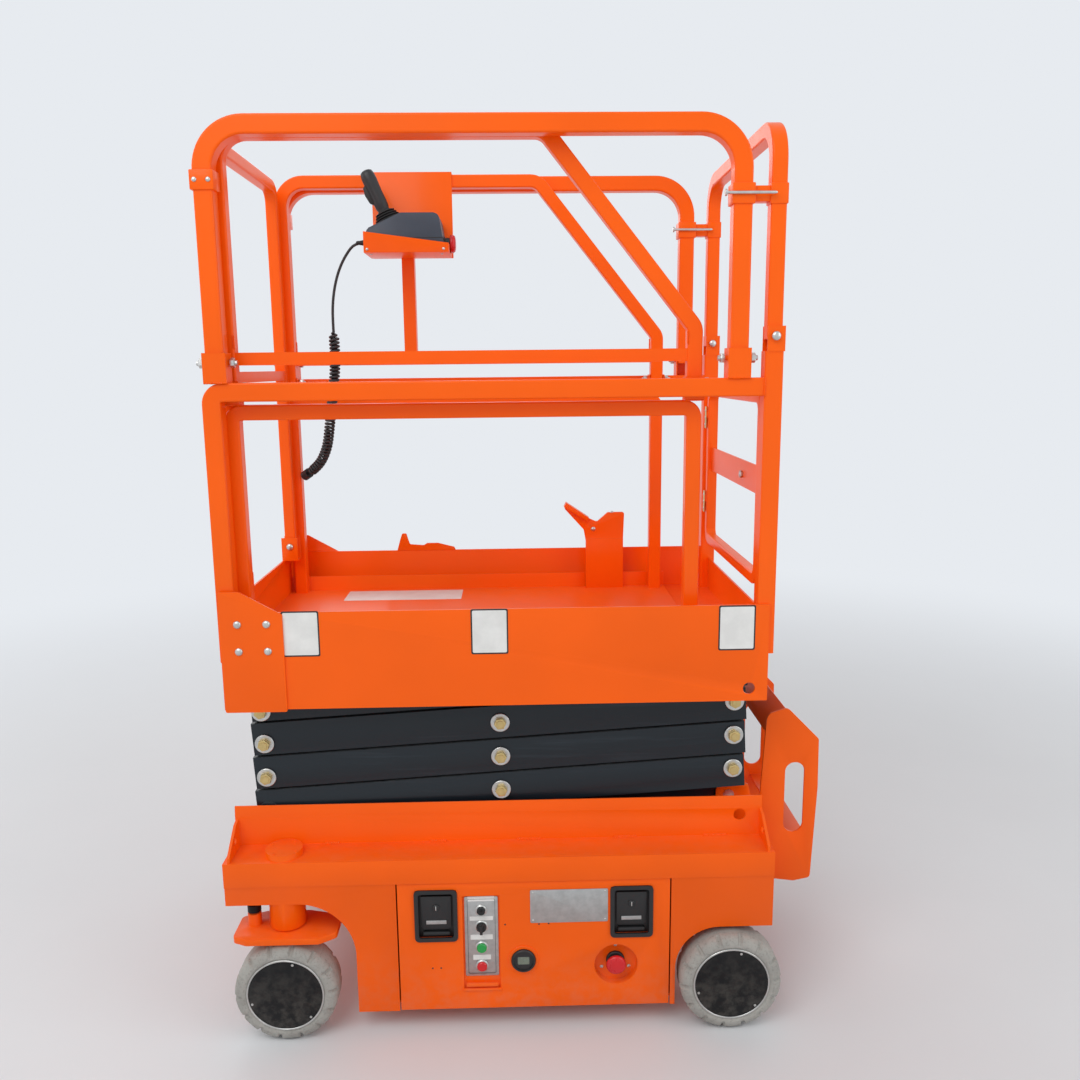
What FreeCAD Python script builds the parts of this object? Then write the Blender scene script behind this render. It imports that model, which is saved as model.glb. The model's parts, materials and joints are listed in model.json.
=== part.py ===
"""Self-propelled mini scissor lift: chassis, four-stage scissor, platform with a sliding extension and folding rails.

Frame: +Z up, +X towards the entry ladder, -Y the side with the ground controls. The origin lies on the floor,
under the middle of the machine. Millimetres.
"""

import FreeCAD, Part

import math
import os
import re
import Sketcher

V = FreeCAD.Vector

# Driving sizes: alias, value in millimetres or degrees, what it is
SIZES = [
    ("wheel_base", 1000, "front to rear axle"),
    ("tyre_dia", 230, "tyre diameter"),
    ("tyre_wide", 80, "tyre width"),
    ("rim_dia", 172, "tyre bore, where the hub disc sits"),
    ("track_out", 380, "centre line to the outer face of a tyre"),
    ("nose_long", 126, "front axle to the front of the chassis"),
    ("tail_long", 95, "rear axle to the rear of the chassis"),
    ("base_half", 354, "half width of the chassis"),
    ("deck_top", 421, "top of the chassis deck"),
    ("deck_thick", 12, "chassis deck plate"),
    ("seam_drop", 57, "height of the upper side beam"),
    ("beam_proud", 3, "upper side beam stands proud of the skirt"),
    ("skirt_thick", 6, "side skirt plate"),
    ("skirt_low", 50, "ground clearance under the chassis"),
    ("nose_low", 320, "lower edge of the skirt over the steered wheel"),
    ("tail_low", 241, "lower edge of the skirt over the rear wheel"),
    ("door_front", 96, "front bulkhead to the door's front edge"),
    ("door_rear", 14, "door's rear edge to the rear bulkhead"),
    ("door_top", 366, "top edge of the door"),
    ("door_gap", 3, "gap round a door"),
    ("door_thick", 12, "door panel"),
    ("door_pin", 6, "hinge pin of a door"),
    ("seat_gap", 0.3, "gap of a piece that rests or slides on another"),
    ("bulk_front", 157, "front axle to the front bulkhead"),
    ("bulk_rear", 124, "rear bulkhead to the rear axle"),
    ("curb_at", 267, "centre line to the outer face of the curb"),
    ("curb_tall", 73, "upright part of the curb over the deck"),
    ("curb_lip", 20, "height of the curb's sloping lip"),
    ("curb_lean", 3, "lean of the curb's lip, towards the scissor"),
    ("curb_thick", 4, "curb plate"),
    ("curb_hole", 28, "lifting hole in the curb"),
    ("arm_long", 1065, "scissor arm, end pin to end pin"),
    ("rise", 80.4, "height of one scissor stage when stowed"),
    ("arm_deep", 75, "scissor arm depth"),
    ("arm_thick", 28, "scissor arm thickness across the machine"),
    ("arm_wall", 4, "wall of the scissor arm's tube"),
    ("arm_lean", 1, "degrees between an arm's tube and the line through its pins"),
    ("arm_over", 27, "arm end beyond its pin"),
    ("outer_at", 250, "centre line to the outer face of the outer arms"),
    ("arm_gap", 7, "gap between outer and inner arms"),
    ("pivot_in", 77, "rear of the chassis to the fixed scissor pivots"),
    ("pivot_z", 498, "height of the lower fixed pivot"),
    ("shaft_dia", 25, "scissor shafts and pins"),
    ("fit", 0.05, "running clearance of a pin in its bore, on the radius"),
    ("boss_dia", 42, "boss and washer round a scissor pin"),
    ("head_tall", 5, "washer and head of a scissor pin"),
    ("lift_deg", 47, "lift of the lowest arm from stowed to full height"),
    ("roller_dia", 50, "lower scissor roller"),
    ("roller_wide", 26, "scissor roller width"),
    ("roller_up", 44, "upper scissor roller"),
    ("roller_gap", 0.4, "running gap between a roller and its track"),
    ("barrel_dia", 80, "lift cylinder barrel"),
    ("barrel_foot", 73, "lift cylinder's eye to the bottom of its bore"),
    ("rod_dia", 45, "lift cylinder rod"),
    ("plat_front", 599, "wheel base middle to the front of the platform"),
    ("plat_rear", 568, "wheel base middle to the rear of the platform"),
    ("plat_half", 341, "half width of the platform"),
    ("toe_top", 985, "top of the platform's side plates"),
    ("side_low", 771, "lower edge of the platform's side plates"),
    ("plat_plate", 5, "platform sheet metal"),
    ("floor_top", 875, "platform floor"),
    ("ext_floor", 885, "extension floor, top"),
    ("ext_reach", 550, "travel of the extension"),
    ("rail_size", 38, "outer rail tube"),
    ("rail_bend", 85, "bend of the outer hoops"),
    ("rail_at", 316, "centre line to the outer rails"),
    ("rail_z", 1443, "height of the fixed side rail"),
    ("hinge_z", 1502, "hinge of the outer side hoops"),
    ("top_z", 1956, "centre of the top rails"),
    ("post_front", 585, "wheel base middle to the front posts"),
    ("post_rear", 562, "wheel base middle to the rear corner posts"),
    ("hoop_rear", 490, "wheel base middle to the rear leg of a side hoop"),
    ("inner_size", 32, "inner rail tube"),
    ("inner_at", 271, "centre line to the inner rails"),
    ("inner_drop", 50, "inner hinge below the outer hinge"),
    ("inner_front", 560, "wheel base middle to the front inner posts"),
    ("inner_rear", 408, "wheel base middle to the rear inner posts"),
    ("inner_low_z", 1400, "top bar of the lower inner frame"),
    ("inner_bar_z", 1510, "bottom bar of the upper inner frame"),
    ("inner_bar", 26, "bottom bar of the upper inner frame, thickness"),
    ("box_post", 320, "front inner posts to the post behind the control box"),
    ("slope_x", 97, "wheel base middle to the top of the sloping bar"),
    ("slope_z", 1566, "foot of the sloping bar"),
    ("end_hinge_z", 1545, "hinge of the rear end hoop"),
    ("fold_near", 98.5, "fold of the near side hoops"),
    ("fold_far", 76, "fold of the far side hoops"),
    ("hoop_front", 572, "wheel base middle to the front leg of a side hoop"),
    ("fold_end", 73, "fold of the rear end hoop"),
    ("front_half", 233, "half width of the front end rail"),
    ("front_size", 28, "front end rail tube"),
    ("front_z", 1022, "hinge of the front end rail"),
    ("gate_top", 1420, "top of the gate"),
    ("gate_low", 1022, "bottom bar of the gate"),
    ("gate_size", 26, "gate tube"),
    ("sign_low", 1208, "lower edge of the gate's plate"),
    ("sign_tall", 62, "height of the gate's plate"),
    ("king_in", 69, "outer face of a steered tyre to its kingpin"),
    ("king_dia", 30, "kingpin"),
    ("king_house", 80, "kingpin housing"),
    ("king_cap", 82, "cap over a kingpin, on the deck"),
    ("cap_z", 236, "underside of the knuckle's top plate"),
    ("cap_thick", 15, "knuckle's top plate"),
    ("tie_ahead", 75, "tie rod pin ahead of the kingpin"),
    ("tie_dia", 20, "tie rod"),
    ("axle_dia", 25, "wheel axle"),
    ("ladder_at", 200, "centre line to a ladder side plate"),
    ("ladder_out", 140, "ladder, beyond the chassis"),
    ("ladder_low", 262, "lower end of the ladder"),
    ("ladder_top", 700, "upper end of the ladder"),
    ("ladder_plate", 6, "ladder side plate"),
]

doc = FreeCAD.newDocument("ScissorLift")
sheet = doc.addObject("Spreadsheet::Sheet", "Sizes")
for row, (alias, value, note) in enumerate(SIZES, 1):
    sheet.set(f"A{row}", note)
    sheet.set(f"B{row}", str(value))
    sheet.setAlias(f"B{row}", alias)
doc.recompute()

NAMES = {alias for alias, value, note in SIZES}
WORD = re.compile(r"[A-Za-z_][A-Za-z_0-9]*")


class Values:
    """The sheet's cells as numbers, for outlines and paths that code works out."""

    def __getattr__(self, alias):
        return float(sheet.get(alias))


s = Values()


def bind(obj, prop, expression):
    """Binds a property to an expression on the sheet's aliases, or sets a plain number."""
    if isinstance(expression, str):
        text = WORD.sub(lambda m: "Sizes." + m[0] if m[0] in NAMES else m[0], expression)
        obj.setExpression(prop, text)
    else:
        obj.setExpression(prop, repr(round(float(expression), 9)))


def place(obj, at):
    for axis, value in zip("xyz", at):
        bind(obj, "Placement.Base." + axis, value)


def box(name, size, at):
    """A block with its lowest corner at a point."""
    obj = doc.addObject("Part::Box", name)
    for prop, value in zip(("Length", "Width", "Height"), size):
        bind(obj, prop, value)
    place(obj, at)
    return obj


TURNS = {
    "x": FreeCAD.Rotation(V(0, 1, 0), 90),
    "y": FreeCAD.Rotation(V(1, 0, 0), -90),
    "z": FreeCAD.Rotation(),
}


def rod(name, dia, length, at, axis="y"):
    """A round bar from a point along +X, +Y or +Z."""
    obj = doc.addObject("Part::Cylinder", name)
    obj.Placement = FreeCAD.Placement(V(), TURNS[axis])
    bind(obj, "Radius", f"({dia}) / 2")
    bind(obj, "Height", length)
    place(obj, at)
    return obj


def fuse(name, parts):
    if len(parts) == 1:
        return parts[0]
    obj = doc.addObject("Part::MultiFuse", name)
    obj.Shapes = parts
    obj.Refine = True
    return obj


def cut(name, base, tools):
    obj = doc.addObject("Part::Cut", name)
    obj.Base = base
    obj.Tool = fuse(name + "_tools", tools)
    obj.Refine = True
    return obj


def mirror(name, source):
    """The far side's copy of a near side piece."""
    obj = doc.addObject("Part::Mirroring", name)
    obj.Source = source
    obj.Normal = V(0, 1, 0)
    return obj


def both(name, source):
    """A near side piece and its far side copy."""
    return [source, mirror(name, source)]


def rounded(points):
    """Lines and arcs round a closed outline of (a, b) or (a, b, corner radius) points."""
    corners = [(V(p[0], p[1], 0), p[2] if len(p) > 2 else 0) for p in points]
    return bends(corners, closed=True)


def bends(corners, closed=False):
    """Lines joined by tangent arcs; corners are (point, radius)."""
    pieces = []
    count = len(corners)
    ends = []
    for i, (here, radius) in enumerate(corners):
        if not radius or (not closed and i in (0, count - 1)):
            ends.append((here, None, here))
            continue
        before = (corners[i - 1][0] - here).normalize()
        after = (corners[(i + 1) % count][0] - here).normalize()
        half = before.getAngle(after) / 2
        run = radius / math.tan(half)
        middle = (before + after).normalize()
        top = here + middle * (radius / math.sin(half) - radius)
        ends.append((here + before * run, top, here + after * run))
    for i, (first, top, last) in enumerate(ends):
        if top is not None:
            pieces.append(Part.Arc(first, top, last))
        if i < count - 1 or closed:
            following = ends[(i + 1) % count][0]
            if (following - last).Length > 1e-6:
                pieces.append(Part.LineSegment(last, following))
    return pieces


# Sketch planes: how a sketch's own x, y and normal lie in the machine
PLANES = {
    "xz": FreeCAD.Rotation(V(1, 0, 0), V(0, 0, 1), V(0, -1, 0), "XYZ"),
    "yz": FreeCAD.Rotation(V(0, 1, 0), V(0, 0, 1), V(1, 0, 0), "XYZ"),
    "xy": FreeCAD.Rotation(),
}
NORMALS = {"xz": V(0, 1, 0), "yz": V(1, 0, 0), "xy": V(0, 0, 1)}
LEVELS = {"xz": "y", "yz": "x", "xy": "z"}


def sketch(name, plane, level, geometry):
    obj = doc.addObject("Sketcher::SketchObject", name)
    obj.Placement = FreeCAD.Placement(V(), PLANES[plane])
    bind(obj, "Placement.Base." + LEVELS[plane], level)
    obj.addGeometry(geometry, False)
    return obj


def circle(a, b, radius):
    return Part.Circle(V(a, b, 0), V(0, 0, 1), radius)


def slot(a, b, wide, tall):
    """A slot with round ends, standing upright."""
    r = wide / 2
    low, high = b - tall / 2 + r, b + tall / 2 - r
    return [
        Part.LineSegment(V(a + r, low, 0), V(a + r, high, 0)),
        Part.Arc(V(a + r, high, 0), V(a, high + r, 0), V(a - r, high, 0)),
        Part.LineSegment(V(a - r, high, 0), V(a - r, low, 0)),
        Part.Arc(V(a - r, low, 0), V(a, low - r, 0), V(a + r, low, 0)),
    ]


def prism(name, plane, level, points, thick, holes=()):
    """A plate with a rounded outline, grown along +X, +Y or +Z from its level."""
    geometry = rounded(points)
    for hole in holes:
        geometry += hole
    obj = doc.addObject("Part::Extrusion", name)
    obj.Base = sketch(name + "_outline", plane, level, geometry)
    obj.DirMode = "Custom"
    obj.Dir = NORMALS[plane]
    obj.Solid = True
    obj.FaceMakerClass = "Part::FaceMakerBullseye"
    bind(obj, "LengthFwd", thick)
    return obj


def tube(name, plane, level, points, side, corner=4):
    """A square bar that follows a path of (a, b) or (a, b, bend radius) points in one plane."""
    corners = [(V(p[0], p[1], 0), p[2] if len(p) > 2 else 0) for p in points]
    path = sketch(name + "_path", plane, level, bends(corners))
    turn = PLANES[plane]
    start = corners[0][0]
    along = (corners[1][0] - start).normalize()
    normal = turn.multVec(V(0, 0, 1))
    forward = turn.multVec(along)
    half = side / 2
    profile = doc.addObject("Sketcher::SketchObject", name + "_section")
    frame = FreeCAD.Rotation(normal, forward.cross(normal), forward, "ZXY")
    here = turn.multVec(start) + NORMALS[plane] * level
    profile.Placement = FreeCAD.Placement(here, frame)
    square = [(-half, -half, corner), (half, -half, corner), (half, half, corner), (-half, half, corner)]
    profile.addGeometry(rounded(square), False)
    obj = doc.addObject("Part::Sweep", name)
    obj.Sections = [profile]
    obj.Spine = (path, [f"Edge{i + 1}" for i in range(len(path.Geometry))])
    obj.Solid = True
    obj.Frenet = False
    obj.Transition = "Right corner"
    return obj


NODES = {}


def node(name, obj):
    """Names a finished piece, which then has a file of its own."""
    obj.Label = name
    NODES[name] = obj
    return obj


# Places along the machine, worked out from the driving sizes; x runs from the origin
SHIFT = (s.nose_long - s.tail_long - s.ladder_out) / 2
FRONT_AXLE = SHIFT - s.wheel_base / 2
REAR_AXLE = SHIFT + s.wheel_base / 2
BASE_FRONT = FRONT_AXLE - s.nose_long
BASE_REAR = REAR_AXLE + s.tail_long
BULK_FRONT = FRONT_AXLE + s.bulk_front
BULK_REAR = REAR_AXLE - s.bulk_rear
DOOR_FRONT = BULK_FRONT + s.door_front
DOOR_REAR = BULK_REAR - s.door_rear
PIVOT_X = BASE_REAR - s.pivot_in
KING_AT = s.track_out - s.king_in
AXLE_Z = s.tyre_dia / 2
REST = math.degrees(math.asin(s.rise / s.arm_long))
SPAN = s.arm_long * math.cos(math.radians(REST))
LEFT_X = PIVOT_X - SPAN
MID_X = PIVOT_X - SPAN / 2
STAGES = 4
INNER_OUT = s.outer_at - s.arm_thick - s.arm_gap
INNER_IN = INNER_OUT - s.arm_thick
PLAT_FRONT = SHIFT - s.plat_front
PLAT_REAR = SHIFT + s.plat_rear
ROOF = s.deck_top - s.deck_thick
SKIRT_AT = s.base_half - s.beam_proud
DOOR_AXIS = SKIRT_AT - s.door_thick - 6
DOOR_AXIS_Z = s.skirt_low + 7
DOOR_HINGES = (DOOR_FRONT + 47, DOOR_REAR - 107)
DOOR_KNUCKLE = 60
GATE_HALF = s.rail_at - s.rail_size / 2 - 14 - s.gate_size / 2
GATE_AXIS = s.rail_at - s.rail_size / 2 - 7
GATE_X = SHIFT + s.post_rear - s.gate_size / 2 - 1
CORD_Y = 176
CORD_EXIT_Z = 1796


# Chassis
def chassis():
    long = "wheel_base + nose_long + tail_long"
    deck = box("deck", (long, "2 * base_half", "deck_thick"), (BASE_FRONT, "-base_half", ROOF))
    beam = box(
        "side_beam",
        (long, "skirt_thick + beam_proud", "seam_drop"),
        (BASE_FRONT, "-base_half", "deck_top - seam_drop"),
    )
    skirt_top = s.deck_top - s.seam_drop / 2
    door = (DOOR_FRONT - s.door_gap, DOOR_REAR + s.door_gap)
    front, rear = BULK_FRONT, BULK_REAR
    skirt = prism(
        "skirt",
        "xz",
        "-(base_half - beam_proud)",
        [
            (BASE_FRONT, skirt_top),
            (BASE_FRONT, s.nose_low),
            (front, s.nose_low, 128),
            (front, s.skirt_low),
            (door[0], s.skirt_low),
            (door[0], s.door_top),
            (door[1], s.door_top),
            (door[1], s.skirt_low),
            (rear, s.skirt_low),
            (rear, s.tail_low, 100),
            (BASE_REAR, s.tail_low),
            (BASE_REAR, skirt_top),
        ],
        "skirt_thick",
    )
    inside = "2 * (base_half - beam_proud - skirt_thick)"
    inner_y = "-(base_half - beam_proud - skirt_thick)"
    pan_half = SKIRT_AT - s.door_thick - 17
    walls = [
        box(name, ("skirt_thick", inside, ROOF - low), (x, inner_y, low))
        for name, x, low in (
            ("nose_wall", BASE_FRONT, s.nose_low),
            ("front_bulkhead", front, s.skirt_low),
            ("rear_bulkhead", rear - s.skirt_thick, s.skirt_low),
            ("tail_wall", BASE_REAR - s.skirt_thick, s.tail_low),
        )
    ]
    pan = box("pan", (rear - front, 2 * pan_half, "skirt_thick"), (front, -pan_half, "skirt_low"))
    house = rod("king_house", "king_house", ROOF - s.cap_z - 20, (FRONT_AXLE, -KING_AT, "cap_z + 20"), "z")
    cap = rod("king_cap", "king_cap", 16, (FRONT_AXLE, -KING_AT, "deck_top - 1"), "z")
    mount = prism(
        "axle_mount",
        "xz",
        -(s.track_out - s.tyre_wide - 18),
        [
            (REAR_AXLE - 60, ROOF),
            (REAR_AXLE - 60, AXLE_Z + 40),
            (REAR_AXLE - 30, AXLE_Z - 40, 20),
            (REAR_AXLE + 30, AXLE_Z - 40, 20),
            (REAR_AXLE + 60, AXLE_Z + 40),
            (REAR_AXLE + 60, ROOF),
        ],
        12,
    )
    stub = rod("axle_stub", "axle_dia", "tyre_wide + 14", (REAR_AXLE, "-track_out + 8", AXLE_Z))
    curb = curb_channel()
    track = prism(
        "roller_track",
        "yz",
        BASE_FRONT + 20,
        [
            (-INNER_OUT, s.deck_top - 1),
            (-INNER_OUT, s.pivot_z - s.roller_dia / 2),
            (-INNER_IN + 6, s.pivot_z - s.roller_dia / 2),
            (-INNER_IN + 6, s.deck_top - 1),
        ],
        520,
    )
    sides = []
    for piece in (beam, skirt, house, cap, mount, stub, curb, track, *door_pins(), *pivot_lugs(), *end_gussets()):
        sides += both(piece.Name + "_far", piece)
    frame = fuse("base_frame_solid", [deck, *walls, pan, *sides])
    bores = both("king_bore_far", rod("king_bore", "king_dia + 2 * fit", 110, (FRONT_AXLE, -KING_AT, "cap_z"), "z"))
    hole_at = (BASE_REAR - 61, "-curb_at - 2", "deck_top + curb_tall - 24")
    holes = both("curb_hole_far", rod("curb_hole", "curb_hole", "curb_thick + 4", hole_at))
    node("base_frame", cut("base_frame", frame, bores + holes))


def door_pins():
    """Pins of the near door's hinge, each held by two ears on the pan."""
    pieces = []
    for i, x0 in enumerate(DOOR_HINGES, 1):
        long = DOOR_KNUCKLE
        pieces.append(rod(f"door_pin_{i}", "door_pin", long + 16, (x0 - 8, -DOOR_AXIS, DOOR_AXIS_Z), "x"))
        for k, ear_x in enumerate((x0 - 7, x0 + long + 2), 1):
            pieces.append(box(f"door_ear_{i}_{k}", (5, 17, 8), (ear_x, -DOOR_AXIS - 4, s.skirt_low + 3)))
    return pieces


def curb_channel():
    """The raised edge of the deck, with its lip leaning in over the scissor's trough."""
    outer, top = -s.curb_at, s.deck_top + s.curb_tall
    inner = outer + s.curb_thick
    return prism(
        "curb",
        "yz",
        BASE_FRONT + 8,
        [
            (outer, s.deck_top - 1),
            (outer, top),
            (outer + s.curb_lean, top + s.curb_lip, 1),
            (inner + s.curb_lean, top + s.curb_lip, 1),
            (inner, top),
            (inner, s.deck_top - 1),
        ],
        BASE_REAR - BASE_FRONT - 18,
    )


def pivot_lugs():
    """Plates either side of the lowest inner arm, which carry the fixed shaft."""
    lugs = []
    low = s.deck_top - 1
    for name, y in (("lug_out", -INNER_OUT - 6), ("lug_in", -INNER_IN + 1)):
        lugs.append(
            prism(
                name,
                "xz",
                y,
                [
                    (PIVOT_X - 30, low),
                    (PIVOT_X - 30, s.pivot_z + 26, 18),
                    (PIVOT_X + 45, s.pivot_z + 26, 8),
                    (PIVOT_X + 70, low),
                ],
                5,
                [[circle(PIVOT_X, s.pivot_z, s.shaft_dia / 2)]],
            )
        )
    return lugs


def end_gussets():
    """Sloping plates between the curb and the side beam at both ends of the deck."""
    plates = []
    for name, x in (("gusset_front", BASE_FRONT + 10), ("gusset_rear", BASE_REAR - 16)):
        plates.append(
            prism(
                name,
                "yz",
                x,
                [
                    (-s.curb_at + 2, s.deck_top - 1),
                    (-s.curb_at + 2, s.deck_top + s.curb_tall - 8),
                    (-s.curb_at - 22, s.deck_top + s.curb_tall - 14, 8),
                    (-s.base_half + 3, s.deck_top + 12, 6),
                    (-s.base_half + 3, s.deck_top - 1),
                ],
                6,
                [[circle(-s.curb_at - 32, s.deck_top + 28, 9)]],
            )
        )
    return plates


def ladder():
    """Two slotted side plates with a sloping top tread and two rungs."""
    x0 = BASE_REAR
    out = BASE_REAR + s.ladder_out
    low, top = s.ladder_low, s.ladder_top
    side = prism(
        "ladder_side",
        "xz",
        -s.ladder_at,
        [
            (x0, low + 12, 6),
            (x0, s.deck_top + 10),
            (x0 + 14, top - 15, 20),
            (x0 + 62, top, 16),
            (out - 2, top - 78, 10),
            (out, top - 200),
            (out - 10, low + 8, 10),
            (out - 50, low, 8),
        ],
        "ladder_plate",
        [slot(x0 + 84, top - 223, 46, 176)],
    )
    across = 2 * s.ladder_at
    tread = prism(
        "top_tread",
        "xz",
        -s.ladder_at + s.ladder_plate - 1,
        [(x0 + 12, top - 60), (x0 + 60, top - 6), (x0 + 64, top - 10), (x0 + 18, top - 64)],
        across - 2 * s.ladder_plate + 2,
    )
    rungs = [
        prism(
            f"rung_{i}",
            "xz",
            -s.ladder_at + s.ladder_plate - 1,
            [(out - 62, z), (out - 12, z), (out - 12, z - 22), (out - 16, z - 22), (out - 16, z - 4), (out - 62, z - 4)],
            across - 2 * s.ladder_plate + 2,
        )
        for i, z in enumerate((top - 340, top - 100), 1)
    ]
    node("ladder", fuse("ladder", [*both("ladder_far", side), tread, *rungs]))


def inner_blocks():
    """Battery pack and power unit inside the chassis, as plain masses."""
    floor = s.skirt_low + s.skirt_thick
    clear = 40
    long = (BULK_REAR - BULK_FRONT) / 2 - 2 * clear
    wide = 2 * (INNER_OUT - 5)
    battery = box("battery", (long, wide, 230), (BULK_FRONT + clear, -wide / 2, floor))
    power = box("power_unit", (long, wide, 200), (BULK_REAR - clear - long, -wide / 2, floor))
    node("inner_blocks", fuse("inner_blocks", [battery, power]))


# Pockets of the near door: name, left edge, lower edge, width, height, depth
POCKETS = [
    ("latch_front", DOOR_FRONT + 39, 224, 92, 121, 14),
    ("latch_rear", DOOR_REAR - 132, 224, 92, 121, 14),
    ("panel", DOOR_FRONT + 144, 97, 83, 233, 8),
]

# Round dish of the stop: its middle, diameter and depth; and the middle of the gauge
STOP_X, STOP_Z, STOP_DISH, STOP_DEEP = DOOR_REAR - 120.5, 154, 98, 20
GAUGE_X, GAUGE_Z = DOOR_FRONT + 279, 171

# Fittings on the control plate: height, diameter, length
KNOBS = [(293, 14, 12), (253, 20, 16), (202, 15, 8), (156, 15, 8)]


# Doors
def doors():
    wide = DOOR_REAR - DOOR_FRONT
    low = s.skirt_low + 2
    tall = s.door_top - s.door_gap - low
    face = "-(base_half - beam_proud)"
    panel = box("door_panel", (wide, "door_thick", tall), (DOOR_FRONT, face, low))
    wall = 4
    cups = [rod("stop_cup", STOP_DISH + 2 * wall, STOP_DEEP, (STOP_X, -SKIRT_AT + wall, STOP_Z))]
    pockets = [rod("stop_dish", STOP_DISH, STOP_DEEP, (STOP_X, face, STOP_Z))]
    for name, x, z, w, h, deep in POCKETS:
        at = (x - wall, -SKIRT_AT + wall, z - wall)
        cups.append(box(name + "_cup", (w + 2 * wall, deep, h + 2 * wall), at))
        pockets.append(box(name + "_pocket", (w, deep, h), (x, face, z)))
    knuckles, bores = door_hinge("near")
    node("door_near", cut("door_near", fuse("door_near_solid", [panel, *cups, *knuckles]), [*pockets, *bores]))
    plain = box("door_far_panel", (wide, "door_thick", tall), (DOOR_FRONT, face, low))
    knuckles, bores = door_hinge("far")
    plain = cut("door_far_plain", fuse("door_far_solid", [plain, *knuckles]), bores)
    node("door_far", mirror("door_far", plain))


def door_hinge(side):
    """Two hinge knuckles behind the door's lower edge, and their bores."""
    knuckles = []
    bores = []
    for i, x in enumerate(DOOR_HINGES, 1):
        at = (x, -DOOR_AXIS, DOOR_AXIS_Z)
        knuckles.append(rod(f"door_{side}_knuckle_{i}", 14, DOOR_KNUCKLE, at, "x"))
        bore = (at[0] - 1, *at[1:])
        bores.append(rod(f"door_{side}_bore_{i}", "door_pin + 2 * fit", DOOR_KNUCKLE + 2, bore, "x"))
    return knuckles, bores


# Running gear
def knuckle():
    """Cap over the steered wheel, with its kingpin, axle plate, axle and tie rod pin."""
    x, y, low = FRONT_AXLE, -KING_AT, s.cap_z
    cap = prism(
        "cap",
        "xy",
        "cap_z",
        [
            (x - 112, y - 50, 12),
            (x - 80, y - 64, 12),
            (x + 80, y - 64, 12),
            (x + 116, y - 40, 12),
            (x + 116, y + 30, 12),
            (x + 40, y + 52, 20),
            (x - 60, y + 52, 20),
            (x - 112, y + 30, 12),
        ],
        "cap_thick",
    )
    pin = rod("king_pin", "king_dia", 104, (x, y, low), "z")
    collar = rod("king_collar", 62, 4, (x, y, low + s.cap_thick), "z")
    plate_y = -(s.track_out - s.tyre_wide - 8)
    plate = prism(
        "axle_plate",
        "xz",
        plate_y,
        [
            (x - 60, low + 2),
            (x - 34, AXLE_Z - 38, 24),
            (x + 34, AXLE_Z - 38, 24),
            (x + 60, low + 2),
        ],
        10,
    )
    stub = rod("front_stub", "axle_dia", s.tyre_wide + 2, (x, "-track_out + 8", AXLE_Z))
    ear = rod("tie_ear", 30, 31, (x - s.tie_ahead, y, low + s.cap_thick - 1), "z")
    tie_pin = rod("tie_pin", 12, 56, (x - s.tie_ahead, y, low + s.cap_thick - 1), "z")
    whole = fuse("knuckle_near", [cap, pin, collar, plate, stub, ear, tie_pin])
    node("knuckle_near", whole)
    node("knuckle_far", mirror("knuckle_far", whole))


def tie_rod():
    x, z = FRONT_AXLE - s.tie_ahead, s.cap_z + s.cap_thick + 42
    bar = rod("tie_bar", "tie_dia", 2 * KING_AT - 20, (x, -KING_AT + 10, z))
    eyes = both("tie_eye_far", rod("tie_eye", 30, 16, (x, -KING_AT, z - 8), "z"))
    holes = both("tie_hole_far", rod("tie_hole", 12 + 2 * s.fit, 40, (x, -KING_AT, z - 20), "z"))
    node("tie_rod", cut("tie_rod", fuse("tie_rod_solid", [bar, *eyes]), holes))


def revolved(name, profile, centre):
    """A round piece turned about the Y direction: (distance from the axle, y) points."""
    body = doc.addObject("PartDesign::Body", name)
    plane = next(f for f in body.Origin.OriginFeatures if f.Role == "XY_Plane")
    axis = next(f for f in body.Origin.OriginFeatures if f.Role == "Y_Axis")
    outline = body.newObject("Sketcher::SketchObject", name + "_profile")
    outline.AttachmentSupport = [(plane, "")]
    outline.MapMode = "FlatFace"
    outline.addGeometry(rounded(profile), False)
    turn = body.newObject("PartDesign::Revolution", name + "_turn")
    turn.Profile = outline
    turn.ReferenceAxis = (axis, [""])
    turn.Angle = 360
    body.Tip = turn
    place(body, centre)
    return body


def wheels():
    half = s.tyre_wide / 2
    outer, bore = s.tyre_dia / 2, s.rim_dia / 2
    tyre = [
        (bore, -half + 4, 2),
        (outer - 12, -half, 8),
        (outer, -half + 12, 8),
        (outer, half - 12, 8),
        (outer - 12, half, 8),
        (bore, half - 4, 2),
    ]
    hole = s.axle_dia / 2 + s.fit
    hub = [
        (hole, -half + 10),
        (34, -half + 10),
        (40, -half + 3, 3),
        (bore - 6, -half + 3, 2),
        (bore - 0.1, -half + 8, 2),
        (bore - 0.1, half - 8, 2),
        (bore - 10, half - 8, 2),
        (bore - 16, -half + 22, 4),
        (36, -half + 22, 4),
        (30, half - 6, 4),
        (hole, half - 6),
    ]
    y = -(s.track_out - half)
    for end, x in (("front", FRONT_AXLE), ("rear", REAR_AXLE)):
        for side, sign in (("near", 1), ("far", -1)):
            for piece, profile in (("tyre", tyre), ("hub", hub)):
                shape = [(p[0], sign * p[1], *p[2:]) for p in profile]
                name = f"{piece}_{end}_{side}"
                node(name, revolved(name, shape, (x, sign * y, AXLE_Z)))


# Scissor
def arm_ends():
    """The end pins from the centre pin, in an arm's own level frame."""
    lean = math.radians(s.arm_lean)
    return s.arm_long / 2 * math.cos(lean), s.arm_long / 2 * math.sin(lean)


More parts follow.
